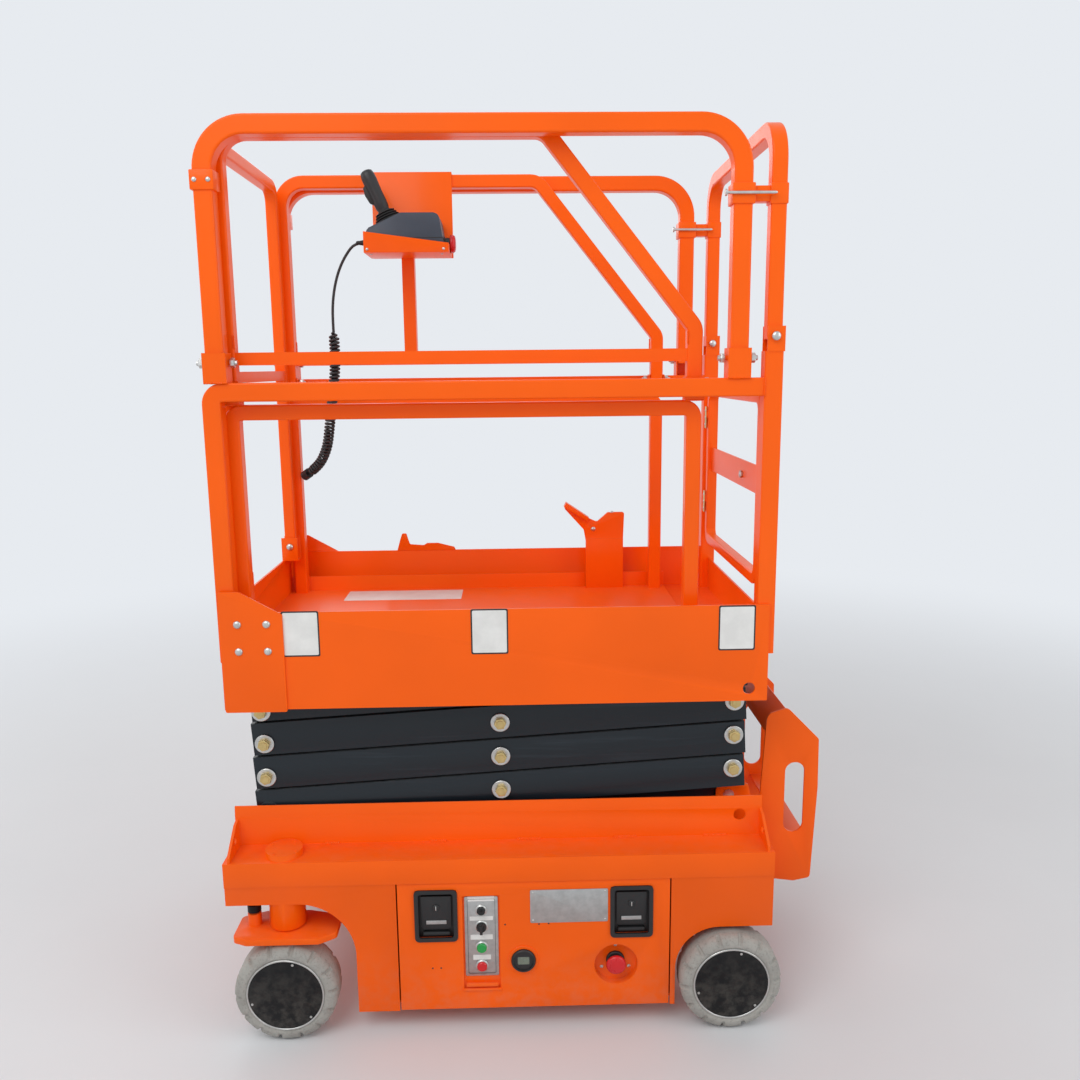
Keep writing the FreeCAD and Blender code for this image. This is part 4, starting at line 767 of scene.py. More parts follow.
class LIFT_OT_stage(bpy.types.Operator):
    """Sets the camera, the lamps, the floor and the sky."""

    bl_idname = "lift.stage"
    bl_label = "Stage"

    def execute(self, context):
        scene = context.scene
        setting = scene.lift_stage
        camera = bpy.data.objects.new("camera", bpy.data.cameras.new("camera"))
        scene.collection.objects.link(camera)
        yaw, pitch, roll = 0.023995, -0.179799, -0.010376
        ahead = Vector((math.sin(yaw), math.cos(yaw), 0))
        right = Vector((math.cos(yaw), -math.sin(yaw), 0))
        up = Vector((0, 0, 1))
        look = ahead * math.cos(pitch) + up * math.sin(pitch)
        top = -ahead * math.sin(pitch) + up * math.cos(pitch)
        across = right * math.cos(roll) + top * math.sin(roll)
        rise = -right * math.sin(roll) + top * math.cos(roll)
        turn = Matrix((across, rise, -look)).transposed().to_4x4()
        camera.matrix_world = Matrix.Translation((-0.0222, -2.2965, 1.4875)) @ turn
        camera.data.lens = setting.lens
        camera.data.sensor_width = 36
        camera.data.clip_end = 100
        scene.camera = camera
        scene.view_settings.view_transform = "Standard"

        for name, at, size, power in (
            ("key", (-1.8, -3.2, 4.4), 3.2, setting.key * 1.0),
            ("right", (3.6, -2.0, 2.6), 2.8, setting.fill),
            ("back", (-1.2, 3.8, 3.6), 3.0, setting.fill),
            ("left", (-4.0, 0.4, 2.2), 2.6, setting.fill * 0.6),
        ):
            lamp = bpy.data.lights.new(name, "AREA")
            lamp.size = size
            lamp.energy = power
            obj = bpy.data.objects.new(name, lamp)
            scene.collection.objects.link(obj)
            obj.location = at
            obj.rotation_mode = "QUATERNION"
            obj.rotation_quaternion = (Vector((0, 0, 1.0)) - Vector(at)).to_track_quat("-Z", "Y")

        world = bpy.data.worlds.new("sky")
        world.use_nodes = True
        scene.world = world
        g = Graph(world.node_tree)
        camera_ray = g.node("ShaderNodeLightPath", output="Is Camera Ray")
        glossy_ray = g.node("ShaderNodeLightPath", output="Is Glossy Ray")
        through_ray = g.node("ShaderNodeLightPath", output="Is Transmission Ray")
        seen = camera_ray.sum("MAXIMUM", camera_ray.sum("MAXIMUM", camera_ray, glossy_ray), through_ray)
        shade = g.tint(seen, (1, 1, 1), SKY)
        power = seen * (1 - setting.world) + setting.world
        sky = g.node("ShaderNodeBackground", None, {"Color": shade, "Strength": power})
        g.node("ShaderNodeOutputWorld", None, {"Surface": sky})

        g = finish_graph("floor")
        mottle = g.noise(1.3, 6, 0.6)
        grit = g.noise(90, 3)
        darker = [channel * 0.93 for channel in setting.floor]
        near = g.shader(g.tint(mottle, setting.floor, darker), 0.55 + grit * 0.2, normal=g.bump(grit, 0.06, 0.002))
        here = g.node("ShaderNodeTexCoord", output="Object")
        far = g.node("ShaderNodeVectorMath", {"operation": "LENGTH"}, {0: here}, "Value")
        fade = g.node("ShaderNodeMapRange", {"interpolation_type": "SMOOTHSTEP"}, {0: far, 1: 1.6, 2: 5.0})
        haze = g.node("ShaderNodeEmission", None, {"Color": (*SKY, 1)})
        whole = g.node("ShaderNodeMixShader", None, {0: fade, 1: near, 2: haze})
        g.node("ShaderNodeOutputMaterial", None, {"Surface": whole})
        bm = bmesh.new()
        bmesh.ops.create_circle(bm, cap_ends=True, radius=24, segments=96)
        mesh = bpy.data.meshes.new("floor")
        bm.to_mesh(mesh)
        bm.free()
        mesh.materials.append(FINISH["floor"])
        floor = bpy.data.objects.new("floor", mesh)
        scene.collection.objects.link(floor)
        return {"FINISHED"}


class LIFT_OT_cord(bpy.types.Operator):
    """Hangs the curly cord from the control box to its plug."""

    bl_idname = "lift.cord"
    bl_label = "Control cord"

    def execute(self, context):
        sizes = context.scene.lift_sizes
        make_finishes()
        line = line_of(CURL_ROUTE)
        curls = helix(line, (sizes.coil - sizes.cord) / 2, sizes.pitch)
        points = [Vector(p) for p in CORD_ROUTE[:-1]] + curls
        cord = nurbs("control_cord", points, sizes.cord / 2)
        cord.data.materials.append(FINISH["cord_sheath"])
        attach(cord, "extension")
        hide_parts("cord_drop", "cord_curl")
        start, along = Vector(CORD_ROUTE[0]), Vector((-1, 0, 0))
        bm = bmesh.new()
        steps = [(0, -0.004), (0.0066, -0.004), (0.0066, 0.003)]
        for i in range(4):
            low, radius = 0.003 + i * 0.0036, 0.0062 - i * 0.0005
            steps += [(radius, low), (radius, low + 0.0022), (radius - 0.0009, low + 0.0024), (radius - 0.0009, low + 0.0035)]
        steps += [(0.0037, 0.0182), (0.0, 0.0182)]
        lathe(bm, steps, aimed(start, along), 20)
        relief = piece("cord_relief", bm, "extension", "black_rubber", sharp=50)
        return {"FINISHED"}


class LIFT_OT_paint(bpy.types.Operator):
    """Gives the tubes, pins and hubs that keep their CAD shape their finish."""

    bl_idname = "lift.paint"
    bl_label = "Tube and pin finishes"

    def execute(self, context):
        for finish, nodes in PLAIN.items():
            for node in nodes:
                finish_node(node, finish)
        return {"FINISHED"}


class LIFT_OT_sheets(bpy.types.Operator):
    """Rounds the edges of the painted sheet metal and of the scissor arms."""

    bl_idname = "lift.sheets"
    bl_label = "Sheet metal"

    def execute(self, context):
        edge = context.scene.lift_sizes.edge
        for node in (*SHEETS, *ARMS):
            finish = "charcoal_paint" if node in ARMS else "orange_paint"
            mesh = rounded_copy(node, edge)
            piece(node + "_painted", mesh, BODY_OF[node], finish, (node,), sharp=30)
        return {"FINISHED"}


class LIFT_OT_wheels(bpy.types.Operator):
    """Pale tyres with notched edges, and the rings and screws of the hub discs."""

    bl_idname = "lift.wheels"
    bl_label = "Wheels"

    def execute(self, context):
        sizes = context.scene.lift_sizes
        for name, x, side in WHEELS:
            low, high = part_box("tyre_" + name)
            hub_low, hub_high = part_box("hub_" + name)
            outer = (high.z - low.z) / 2
            bore = (hub_high.z - hub_low.z) / 2
            half = (high.y - low.y) / 2
            middle = (high.y + low.y) / 2
            out = -1 if side < 0 else 1
            body = "wheel_" + name
            matrix = aimed((x, middle, AXLE_Z), (0, out, 0))
            profile = [
                (bore, -half + 0.004, 0),
                (bore + 0.006, -half, 0),
                (outer - 0.018, -half, 0.25),
                (outer - 0.007, -half + 0.004, 1),
                (outer - 0.001, -half + 0.012, 1),
                (outer, -half + 0.020, 0.12),
                (outer, 0, 0),
                (outer, half - 0.020, 0.12),
                (outer - 0.001, half - 0.012, 1),
                (outer - 0.007, half - 0.004, 1),
                (outer - 0.018, half, 0.25),
                (bore + 0.006, half, 0),
                (bore, half - 0.004, 0),
            ]
            steps = sizes.lugs * 12
            bm = bmesh.new()
            rings = []
            for radius, level, share in profile:
                ring = []
                for i in range(steps):
                    phase = (i % 12) / 12
                    cut = 1.0 if 0.02 < phase < 0.22 else 0.0
                    a = 2 * math.pi * i / steps
                    r = radius - 0.0055 * share * cut
                    pull = 0.003 * share * cut * (1 if level < 0 else -1)
                    ring.append(bm.verts.new(matrix @ Vector((r * math.cos(a), r * math.sin(a), level + pull))))
                rings.append(ring)
            for a, b in zip(rings, rings[1:] + rings[:1]):
                for i in range(steps):
                    k = (i + 1) % steps
                    bm.faces.new((a[i], a[k], b[k], b[i]))
            bmesh.ops.recalc_face_normals(bm, faces=bm.faces[:])
            piece("tyre_tread_" + name, bm, body, "tyre_rubber", ("tyre_" + name,), sharp=38)

            face = half - 0.003
            bm = bmesh.new()
            lathe(bm, [(0, face - 0.002), (bore - 0.003, face - 0.002), (bore - 0.003, face + 0.0008), (bore - 0.0045, face + 0.0016), (0, face + 0.0016)], matrix, 96)
            piece("hub_disc_" + name, bm, body, "black_paint")
            bm = bmesh.new()
            lathe_ring(bm, bore - 0.0032, bore + 0.0006, face - 0.002, face + 0.0022, matrix, 96)
            piece("hub_ring_" + name, bm, body, "zinc")
            spots = []
            for turn in (75, 195, 315):
                a = math.radians(turn)
                at = matrix @ Vector(((bore - 0.009) * math.cos(a), (bore - 0.009) * math.sin(a), face + 0.0014))
                spots.append((at, (0, out, 0)))
            scatter("hub_screws_" + name, "screw", spots, body, "zinc", size=0.006)
        return {"FINISHED"}


def lathe_ring(bm, inner, outer, low, high, matrix, segments=64):
    """Adds a flat ring with rounded rims."""
    edge = min(0.0006, (outer - inner) / 4)
    loop = [
        (inner, low),
        (outer, low),
        (outer, high - edge),
        (outer - edge, high),
        (inner + edge, high),
        (inner, high - edge),
    ]
    rings = []
    for radius, level in loop:
        turn = 2 * math.pi / segments
        rings.append(
            [
                bm.verts.new(matrix @ Vector((radius * math.cos(i * turn), radius * math.sin(i * turn), level)))
                for i in range(segments)
            ]
        )
    for a, b in zip(rings, rings[1:] + rings[:1]):
        for i in range(segments):
            k = (i + 1) % segments
            bm.faces.new((a[i], a[k], b[k], b[i]))
    bmesh.ops.recalc_face_normals(bm, faces=bm.faces[:])
    return bm


def pins_of(stage):
    """Middle and end pins of a stage: (x, z)."""
    middle, left = PIVOT_X - SPAN / 2, PIVOT_X - SPAN
    places = [(middle, PIVOT_Z + (stage - 0.5) * RISE)]
    if stage > 1:
        places.append((left, PIVOT_Z + (stage - 1) * RISE))
    if stage < STAGES:
        places.append((PIVOT_X, PIVOT_Z + stage * RISE))
    return places


class LIFT_OT_fasteners(bpy.types.Operator):
    """Washers, bolts, nuts and screws."""

    bl_idname = "lift.fasteners"
    bl_label = "Fasteners"

    def execute(self, context):
        sizes = context.scene.lift_sizes
        for stage in range(1, STAGES + 1):
            body = f"outer_{stage}"
            low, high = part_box(f"arms_outer_{stage}")
            spots = []
            for x, z in pins_of(stage):
                spots += [((x, low.y, z), (0, -1, 0)), ((x, high.y, z), (0, 1, 0))]
            scatter(f"pin_washers_{stage}", "washer", spots, body, "zinc", size=sizes.washer)
            heads = [((x, y + 0.0024 * aim[1], z), aim) for (x, y, z), aim in spots]
            scatter(f"pin_bolts_{stage}", "hex", heads, body, "gold_zinc", size=sizes.bolt)

        corner = [((x, -0.346, z), (0, -1, 0)) for x in (-0.614, -0.553) for z in (0.961, 0.902)]
        corner += [((x, -y, z), (0, 1, 0)) for (x, y, z), aim in corner]
        scatter("corner_bolts", "button", corner, "platform", "zinc", size=0.017)

        for name, body, places in (
            ("hoop_nuts", "platform", [(x, y, HINGE_Z, RAIL_Y) for x in (-0.6265, 0.4355) for y in (-1, 1)]),
            ("inner_hoop_nuts", "extension", [(x, y, INNER_HINGE_Z, INNER_Y) for x in (-0.6145, 0.3535) for y in (-1, 1)]),
        ):
            reach = 0.0272 if body == "platform" else 0.0237
            spots = []
            for x, side, z, y in places:
                spots += [((x - reach, side * y, z), (-1, 0, 0)), ((x + reach, side * y, z), (1, 0, 0))]
            scatter(name, "nut", spots, body, "zinc", size=sizes.nut)

        ends = [((REAR_X, side * (RAIL_Y + aim * 0.0265), END_HINGE_Z), (0, side * aim, 0)) for side in (-1, 1) for aim in (-1, 1)]
        scatter("rear_hoop_bolts", "button", ends, "platform", "zinc", size=0.019)
        feet = [((-0.6295, y + aim * 0.0200, 1.022), (0, aim, 0)) for y in (-0.233, 0.233) for aim in (-1, 1)]
        scatter("front_rail_bolts", "button", feet, "extension", "zinc", size=0.018)

        caps = []
        for side in (-1, 1):
            for turn in (28, 118, 208, 298):
                a = math.radians(turn)
                caps.append(((-0.5545 + 0.034 * math.cos(a), side * (0.311 + 0.034 * math.sin(a)), 0.4358), (0, 0, 1)))
        scatter("cap_screws", "screw", caps, "base", "orange_paint", size=0.008)

        lock = [((0.1857, 0.2712, 1.0493), (0, -1, 0)), ((0.2356, 0.275, 1.0948), (0, 0, 1))]
        scatter("foot_lock_bolts", "button", lock, "extension", "zinc", size=0.013)
        scatter("gate_bolt", "hex", [((0.5046, -0.095, 1.237), (-1, 0, 0))], "gate_body", "zinc", size=0.015)
        return {"FINISHED"}


class LIFT_OT_rail_fittings(bpy.types.Operator):
    """Clamps and pins that tie the hoops together, the gate's hinges and the lug on the far side."""

    bl_idname = "lift.rail_fittings"
    bl_label = "Rail fittings"

    def execute(self, context):
        clamps, pins, bolts = bmesh.new(), bmesh.new(), []
        for side, z in ((-1, 1.822), (1, 1.838)):
            y = side * RAIL_Y
            block(clamps, (0.4125, y - 0.0225, z - 0.020), (0.4585, y + 0.0225, z + 0.020), 0.002)
            block(clamps, (0.4575, y - 0.0150, z - 0.015), (0.4920, y + 0.0150, z + 0.015), 0.0015)
            block(clamps, (0.4895, y - 0.0185, z - 0.020), (0.5255, y + 0.0185, z + 0.020), 0.002)
            at = aimed((0.398, y - 0.0262, z), (1, 0, 0))
            lathe(pins, [(0, 0), (0.0028, 0), (0.0032, 0.003), (0.0032, 0.098), (0.0020, 0.102), (0, 0.102)], at, 14)
            lathe(pins, [(0, -0.002), (0.0065, -0.002), (0.0070, 0), (0.0065, 0.002), (0, 0.002)], at, 18)
            block(clamps, (-0.6500, y - 0.0225, z + 0.012), (-0.6030, y + 0.0225, z + 0.050), 0.002)
            bolts += [((x, y + side * 0.0225, z + 0.031), (0, side, 0)) for x in (-0.640, -0.613)]
            bolts += [((x, y - side * 0.0225, z + 0.031), (0, -side, 0)) for x in (-0.640, -0.613)]
        piece("hoop_clamps", clamps, "platform", "orange_paint")
        piece("hoop_pins", pins, "platform", "zinc")
        scatter("clamp_bolts", "button", bolts, "platform", "zinc", size=0.010)

        leaves, heads = bmesh.new(), []
        for z in (1.1215, 1.3495):
            block(leaves, (0.4895, 0.2705, z - 0.029), (0.4920, 0.2855, z + 0.029), 0.0006)
            heads += [((0.4896, 0.2775, z + k * 0.019), (-1, 0, 0)) for k in (-1, 0, 1)]
            heads += [((0.5205, 0.2700, z + k * 0.019), (1, 0, 0)) for k in (-1, 1)]
        piece("gate_hinge_leaves", leaves, "gate_body", "gold_zinc")
        scatter("gate_hinge_screws", "button", heads, "gate_body", "zinc", size=0.007)

        front = Matrix.Rotation(math.radians(90), 4, "X")
        lug = [(-0.360, 0.984, 0.001), (-0.350, 1.018, 0.004), (-0.345, 1.033, 0.004), (-0.333, 1.033, 0.004), (-0.325, 1.001, 0.006)]
        lug += [(-0.285, 0.999, 0.002), (-0.276, 1.005, 0.002), (-0.246, 1.005, 0.002), (-0.200, 0.993, 0.002), (-0.196, 0.984, 0.001)]
        bm = extrude(bmesh.new(), softened(lug[::-1], 3), Matrix.Translation((0, 0.3400, 0)) @ front, 0.005, 0.0008)
        piece("deck_lock_lug", bm, "platform", "orange_paint", sharp=50)
        return {"FINISHED"}


class LIFT_OT_welds(bpy.types.Operator):
    """Beads along the curb's foot, on the rails and round the sockets."""

    bl_idname = "lift.welds"
    bl_label = "Welds"

    def execute(self, context):
        width = context.scene.lift_sizes.weld
        spans = ((-0.469, -0.441), (-0.229, -0.197), (-0.031, 0.019), (0.192, 0.239), (0.397, 0.447))
        z = 0.4215
        lines = [((a, side * 0.268, z), (b, side * 0.268, z)) for a, b in spans for side in (-1, 1)]
        weld("curb_welds", lines, "base", width=width)

        lines = []
        for side in (-1, 1):
            face = side * (RAIL_Y + 0.0192)
            lines.append(((REAR_X - 0.019, face, 1.426), (REAR_X - 0.019, face, 1.460)))
            for x in (-0.6265, 0.4355):
                lines.append(((x - 0.022, side * (RAIL_Y + 0.0215), 1.4622), (x + 0.022, side * (RAIL_Y + 0.0215), 1.4622)))
        weld("rail_welds", lines, "platform", width=width * 0.7)

        lines = []
        for side in (-1, 1):
            face = side * (INNER_Y + 0.0160)
            for x in (-0.6145 + 0.016, 0.3535 - 0.016):
                lines.append(((x, face, 1.545 - 0.012), (x, face, 1.545 + 0.012)))
            for x in (-0.6145, 0.3535):
                lines.append(((x - 0.018, side * (INNER_Y + 0.0185), 1.4162), (x + 0.018, side * (INNER_Y + 0.0185), 1.4162)))
        weld("inner_rail_welds", lines, "extension", width=width * 0.6)
        return {"FINISHED"}


class LIFT_OT_door_fittings(bpy.types.Operator):
    """Paddle latches, control plate, gauge, stop button and nameplate of the near door."""

    bl_idname = "lift.door_fittings"
    bl_label = "Door fittings"

    def execute(self, context):
        body = BODY_OF["door_controls"]
        face = DOOR_FACE
        front = Matrix.Rotation(math.radians(90), 4, "X")

        bm = bmesh.new()
        locks = bmesh.new()
        for x in (-0.2165, 0.2215):
            z = 0.2845
            at = Matrix.Translation((x, face + 0.001, z)) @ front
            frame_plate(bm, round_corners(0.096, 0.125, 0.010), round_corners(0.078, 0.107, 0.006), at, 0.0045)
            extrude(bm, round_corners(0.088, 0.117, 0.004), Matrix.Translation((x, face + 0.0135, z)) @ front, 0.002, 0)
            paddle = [(-0.034, 0.046), (-0.034, -0.030), (-0.028, -0.038), (0.028, -0.038), (0.034, -0.030), (0.034, 0.046)]
            tilt = Matrix.Translation((x, face + 0.009, z)) @ front @ Matrix.Rotation(math.radians(3), 4, "X")
            extrude(bm, paddle[::-1], tilt, 0.005, 0.0012)
            block(bm, (x - 0.030, face + 0.0015, z - 0.050), (x + 0.030, face + 0.010, z - 0.041), 0.002)
            lathe(bm, [(0, 0), (0.0075, 0), (0.0075, 0.003), (0.0060, 0.0042), (0, 0.0042)], Matrix.Translation((x, face + 0.004, z + 0.018)) @ front, 28)
            block(locks, (x - 0.0010, face - 0.0010, z + 0.0130), (x + 0.0010, face + 0.0004, z + 0.0230), 0.0003)
            block(bm, (x - 0.030, face + 0.0022, z + 0.038), (x + 0.030, face + 0.0055, z + 0.040), 0.0005)
        piece("door_latch_bodies", bm, body, "black_plastic", ("door_latches",))
        bm = bmesh.new()
        for x in (-0.2165, 0.2215):
            block(bm, (x - 0.0225, face + 0.0035, 0.2615), (x + 0.0225, face + 0.0055, 0.2705), 0.0004)
        piece("door_latch_plates", bm, body, "brushed_plate")
        piece("door_latch_locks", locks, body, "zinc")

        x, deep = -0.116, face + 0.006
        bm = bmesh.new()
        extrude(bm, round_corners(0.075, 0.195, 0.003), Matrix.Translation((x, deep + 0.002, 0.2275)) @ front, 0.002, 0.0004)
        piece("control_plate", bm, body, "brushed_plate", ("door_controls",))

        bm = bmesh.new()
        for z, tall, across in ((0.322, 0.012, 0.060), (0.274, 0.010, 0.052), (0.228, 0.012, 0.050), (0.178, 0.012, 0.040)):
            extrude(bm, round_corners(across, tall, 0.001), Matrix.Translation((x, deep, z - 0.002)) @ front, 0.0004, 0)
        piece("control_legends", bm, body, "white_plate")
        bm = bmesh.new()
        at = Matrix.Translation((x, deep - 0.0002, 0.2275)) @ front
        frame_plate(bm, round_corners(0.0625, 0.1840, 0.004), round_corners(0.0610, 0.1825, 0.0035), at, 0.0003)
        piece("control_outline", bm, body, "black_plastic")

        rings, knobs = bmesh.new(), bmesh.new()
        for z, radius in ((0.293, 0.013), (0.253, 0.015), (0.202, 0.0145), (0.156, 0.0145)):
            lathe(rings, [(0, 0), (radius, 0), (radius, 0.003), (radius - 0.0022, 0.0046), (0, 0.0046)], Matrix.Translation((x, deep, z)) @ front, 36)
        piece("control_bezels", rings, body, "zinc")
        at = Matrix.Translation((x, deep, 0.253)) @ front
        lathe(knobs, [(0, 0.004), (0.0115, 0.004), (0.0115, 0.008), (0.0095, 0.011), (0, 0.011)], at, 36)
        block(knobs, (x - 0.0032, deep - 0.020, 0.2425), (x + 0.0032, deep - 0.010, 0.2635), 0.001)
        at = Matrix.Translation((x, deep, 0.293)) @ front
        lathe(knobs, disc(0.0095, 0.004, 0.0085), at, 32)
        block(knobs, (x - 0.0012, deep - 0.0155, 0.2885), (x + 0.0012, deep - 0.008, 0.2975), 0.0005)
        piece("control_knobs", knobs, body, "black_plastic")
        for name, z, finish in (("start_button", 0.202, "green_plastic"), ("stop_button_small", 0.156, "red_plastic")):
            bm = lathe(bmesh.new(), [(0, 0.003), (0.0112, 0.003), (0.0112, 0.0075), (0.0096, 0.0095), (0, 0.0098)], Matrix.Translation((x, deep, z)) @ front, 36)
            piece(name, bm, body, finish)
        bm = bmesh.new()
        block(bm, (x - 0.036, face - 0.0045, 0.1085), (x + 0.036, face + 0.002, 0.1165), 0.0015)
        block(bm, (x - 0.043, face - 0.003, 0.097), (x + 0.043, face + 0.001, 0.103), 0.001)
        piece("control_lip", bm, body, "orange_paint")

        at = Matrix.Translation((-0.0225, face, 0.171)) @ front
        bm = bmesh.new()
        lathe_ring(bm, 0.0275, 0.0345, 0, 0.0025, at, 64)
        piece("gauge_ring", bm, body, "orange_paint")
        bm = bmesh.new()
        lathe(bm, [(0, 0), (0.0275, 0), (0.0275, 0.006), (0.0255, 0.0085), (0.0225, 0.0085), (0.0218, 0.0055), (0, 0.0055)], at, 64)
        piece("gauge_case", bm, body, "black_plastic")
        bm = extrude(bmesh.new(), round_corners(0.026, 0.018, 0.002), at @ Matrix.Translation((0, 0.001, 0.0052)), 0.0006, 0)
        piece("gauge_display", bm, body, "display")

        low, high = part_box("door_stop")
        deep = high.y - low.y
        at = Matrix.Translation(((low.x + high.x) / 2, high.y, (low.z + high.z) / 2)) @ front
        bm = lathe(bmesh.new(), [(0, 0), (0.0210, 0), (0.0210, 0.004), (0.0195, 0.006), (0.0150, 0.006), (0.0150, deep - 0.012), (0, deep - 0.012)], at, 64)
        piece("door_stop_collar", bm, body, "black_plastic", sharp=55)
        head = [(0.0150, 0.012), (0.0160, 0.0105), (0.0216, 0.0105), (0.0226, 0.0085), (0.0222, 0.0055), (0.0195, 0.0022), (0.0140, 0.0006), (0, 0)]
        bm = lathe(bmesh.new(), [(0, deep - 0.012), *[(radius, deep - level) for radius, level in head]], at, 64)
        piece("door_stop_mushroom", bm, body, "red_plastic", ("door_stop",), sharp=55)
        spots = []
        for turn in (90, 210, 330):
            a = math.radians(turn)
            spots.append((at @ Vector((0.036 * math.cos(a), 0.036 * math.sin(a), 0)), (0, -1, 0)))
        scatter("door_stop_screws", "screw", spots, body, "zinc", size=0.008)

        bm = extrude(bmesh.new(), round_corners(0.174, 0.080, 0.003), Matrix.Translation((0.081, face, 0.302)) @ front, 0.0012, 0.0003)
        piece("nameplate", bm, body, "brushed_plate")
        spots = [((0.081 + a * 0.081, face - 0.0012, 0.302 + b * 0.034), (0, -1, 0)) for a in (-1, 1) for b in (-1, 1)]
        spots += [((x + a * 0.033, deep, 0.2275 + b * 0.092), (0, -1, 0)) for a in (-1, 1) for b in (-1, 1)]
        scatter("nameplate_rivets", "rivet", spots, body, "zinc", size=0.005)
        # Black dots at the door's holes are painted shade: they stand for the dark insides of the holes, not for parts.
        hole_shade_spots = [((x, face + 0.0004, z), (0, -1, 0)) for x, z in ((-0.2275, 0.155), (-0.2084, 0.155), (-0.0628, 0.259), (0.0133, 0.258), (0.0349, 0.259))]
        scatter("door_holes", "rivet", hole_shade_spots, body, "black_plastic", size=0.0045)
        return {"FINISHED"}


class LIFT_OT_plates(bpy.types.Operator):
    """Blank plates on the platform's near side and toe board."""

    bl_idname = "lift.plates"
    bl_label = "Blank plates"

    def execute(self, context):
        front = Matrix.Rotation(math.radians(90), 4, "X")
        rims, pads = bmesh.new(), bmesh.new()
        for x, z in ((-0.4835, 0.9375), (-0.0845, 0.936), (0.444, 0.935)):
            at = Matrix.Translation((x, -0.341, z)) @ front
            frame_plate(rims, round_corners(0.079, 0.099, 0.004), round_corners(0.073, 0.093, 0.003), at, 0.0006)
            extrude(pads, round_corners(0.0735, 0.0935, 0.003), at, 0.0004, 0)
        piece("side_plate_rims", rims, "platform", "black_plastic")
        piece("side_plate_pads", pads, "platform", "white_plate")
        bm = extrude(bmesh.new(), round_corners(0.310, 0.105, 0.003), Matrix.Translation((-0.329, 0.214, 0.8850)), 0.0006, 0.0002)
        piece("deck_strip", bm, "extension", "white_plate")
        return {"FINISHED"}


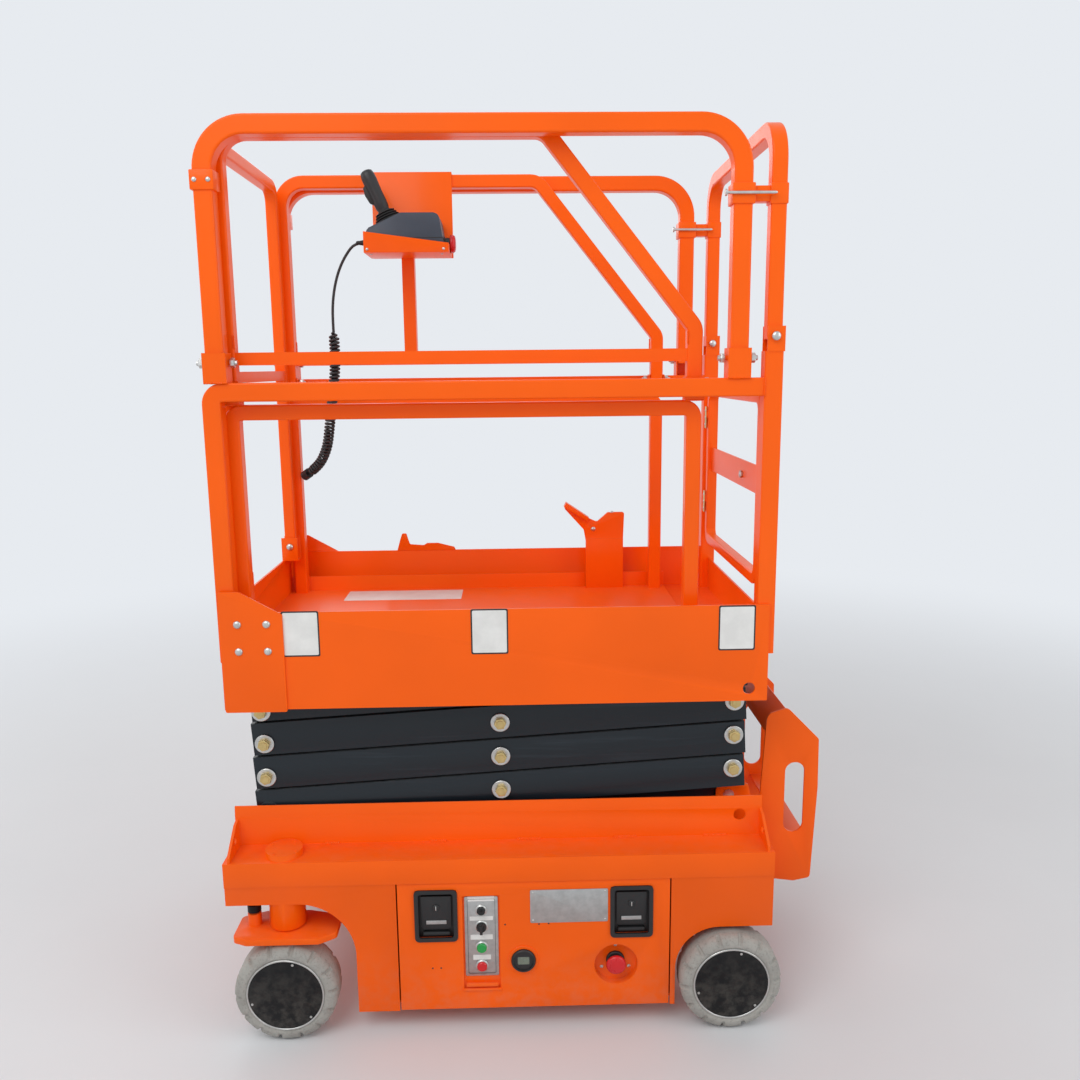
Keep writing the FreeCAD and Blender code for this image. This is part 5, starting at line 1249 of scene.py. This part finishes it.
class LIFT_OT_control_box(bpy.types.Operator):
    """Control box with its ribbed boot, grip, trigger and stop button."""

    bl_idname = "lift.control_box"
    bl_label = "Control box"

    def execute(self, context):
        body = BODY_OF["control_case"]
        front = Matrix.Rotation(math.radians(90), 4, "X")
        outline = [(-0.381, 1.770, 0.006), (-0.1895, 1.770, 0.006), (-0.2035, 1.860, 0.014), (-0.296, 1.860, 0.020), (-0.381, 1.822, 0.012)]
        bm = extrude(bmesh.new(), softened(outline), Matrix.Translation((0, 0.243, 0)) @ front, 0.119, 0.005)
        piece("control_case_shell", bm, body, "slate_plastic", ("control_case",), sharp=50)
        seam = [(-0.3816, 1.800, 0.001), (-0.1935, 1.800, 0.001), (-0.1938, 1.8025, 0.001), (-0.3816, 1.8025, 0.001)]
        bm = extrude(bmesh.new(), softened(seam, 2), Matrix.Translation((0, 0.2434, 0)) @ front, 0.1198, 0.0005)
        piece("control_case_seam", bm, body, "black_plastic")

        lean = Vector((-0.408, 0, 0.913)).normalized()
        foot = Vector((-0.329, 0.180, 1.845))
        steps = [(0, 0), (0.0352, 0), (0.0352, 0.003)]
        for i in range(4):
            level, radius = 0.003 + i * 0.0062, 0.0345 - i * 0.0031
            steps += [(radius - 0.0045, level + 0.0004), (radius, level + 0.0024), (radius, level + 0.0036), (radius - 0.0050, level + 0.0058)]
        steps += [(0.0150, 0.0300), (0.0142, 0.036), (0, 0.036)]
        bm = lathe(bmesh.new(), steps, aimed(foot, lean), 40)
        piece("lever_boot", bm, body, "black_rubber", ("control_lever",), sharp=60)
        grip = [(0, 0.030), (0.0135, 0.030), (0.0160, 0.038), (0.0172, 0.052), (0.0165, 0.070), (0.0170, 0.090), (0.0180, 0.108), (0.0176, 0.120), (0.0150, 0.130), (0.0095, 0.1335), (0, 0.134)]
        bm = lathe(bmesh.new(), grip, aimed(foot, lean), 40)
        piece("lever_grip", bm, body, "black_plastic", sharp=50)
        side = Vector((-lean.z, 0, lean.x))
        turn = Matrix((side, (0, -1, 0), lean)).transposed().to_4x4()
        turn.translation = foot
        trigger = [(0.014, 0.050, 0.002), (0.024, 0.060, 0.003), (0.0265, 0.080, 0.003), (0.023, 0.098, 0.003), (0.014, 0.104, 0.002)]
        tall = turn @ Matrix.Translation((0, 0.007, 0)) @ front
        bm = extrude(bmesh.new(), softened(trigger, 3), tall, 0.014, 0.002)
        bmesh.ops.recalc_face_normals(bm, faces=bm.faces[:])
        piece("lever_trigger", bm, body, "black_rubber", sharp=50)

        at = aimed((-0.1965, 0.185, 1.793), (1, 0, 0))
        bm = lathe(bmesh.new(), [(0, 0), (0.0172, 0), (0.0172, 0.004), (0.0150, 0.005), (0.0150, 0.018), (0, 0.018)], at, 40)
        piece("case_stop_collar", bm, body, "black_plastic")
        head = [(0, 0.016), (0.0150, 0.016), (0.0214, 0.0175), (0.0222, 0.0195), (0.0218, 0.0245), (0.0190, 0.0290), (0.0120, 0.0308), (0, 0.0310)]
        bm = lathe(bmesh.new(), head, at, 40)
        piece("case_stop_mushroom", bm, body, "red_plastic", sharp=50)
        spots = [((x, 0.150, 1.766), (0, 0, -1)) for x in (-0.372, -0.198)] + [((x, 0.118, 1.774), (0, -1, 0)) for x in (-0.378, -0.192)]
        scatter("tray_screws", "button", spots, body, "zinc", size=0.007)
        return {"FINISHED"}


OPERATORS = (
    LIFT_OT_stage,
    LIFT_OT_cord,
    LIFT_OT_paint,
    LIFT_OT_sheets,
    LIFT_OT_wheels,
    LIFT_OT_fasteners,
    LIFT_OT_rail_fittings,
    LIFT_OT_welds,
    LIFT_OT_door_fittings,
    LIFT_OT_plates,
    LIFT_OT_control_box,
)


class LIFT_PT_panel(bpy.types.Panel):
    """Lists the steps that dress the lift."""

    bl_label = "Scissor lift"
    bl_space_type = "VIEW_3D"
    bl_region_type = "UI"
    bl_category = "Lift"

    def draw(self, context):
        column = self.layout.column()
        for operator in OPERATORS:
            column.operator(operator.bl_idname)
        for group in (context.scene.lift_colours, context.scene.lift_sizes, context.scene.lift_stage):
            for name in group.__annotations__:
                column.prop(group, name)


GROUPS = (LiftColours, LiftSizes, LiftStage)


def register():
    for made in (*GROUPS, *OPERATORS, LIFT_PT_panel):
        bpy.utils.register_class(made)
    bpy.types.Scene.lift_colours = PointerProperty(type=LiftColours)
    bpy.types.Scene.lift_sizes = PointerProperty(type=LiftSizes)
    bpy.types.Scene.lift_stage = PointerProperty(type=LiftStage)


def unregister():
    for name in ("lift_colours", "lift_sizes", "lift_stage"):
        delattr(bpy.types.Scene, name)
    for made in (LIFT_PT_panel, *reversed(OPERATORS), *reversed(GROUPS)):
        bpy.utils.unregister_class(made)


def main():
    register()
    make_templates()
    TREES["fasteners"] = fastener_tree()
    TREES["welds"] = weld_tree()
    for operator in OPERATORS:
        group, name = operator.bl_idname.split(".")
        getattr(getattr(bpy.ops, group), name)()
    for obj in TEMPLATES.values():
        bpy.data.objects.remove(obj)


if __name__ == "__main__":
    main()
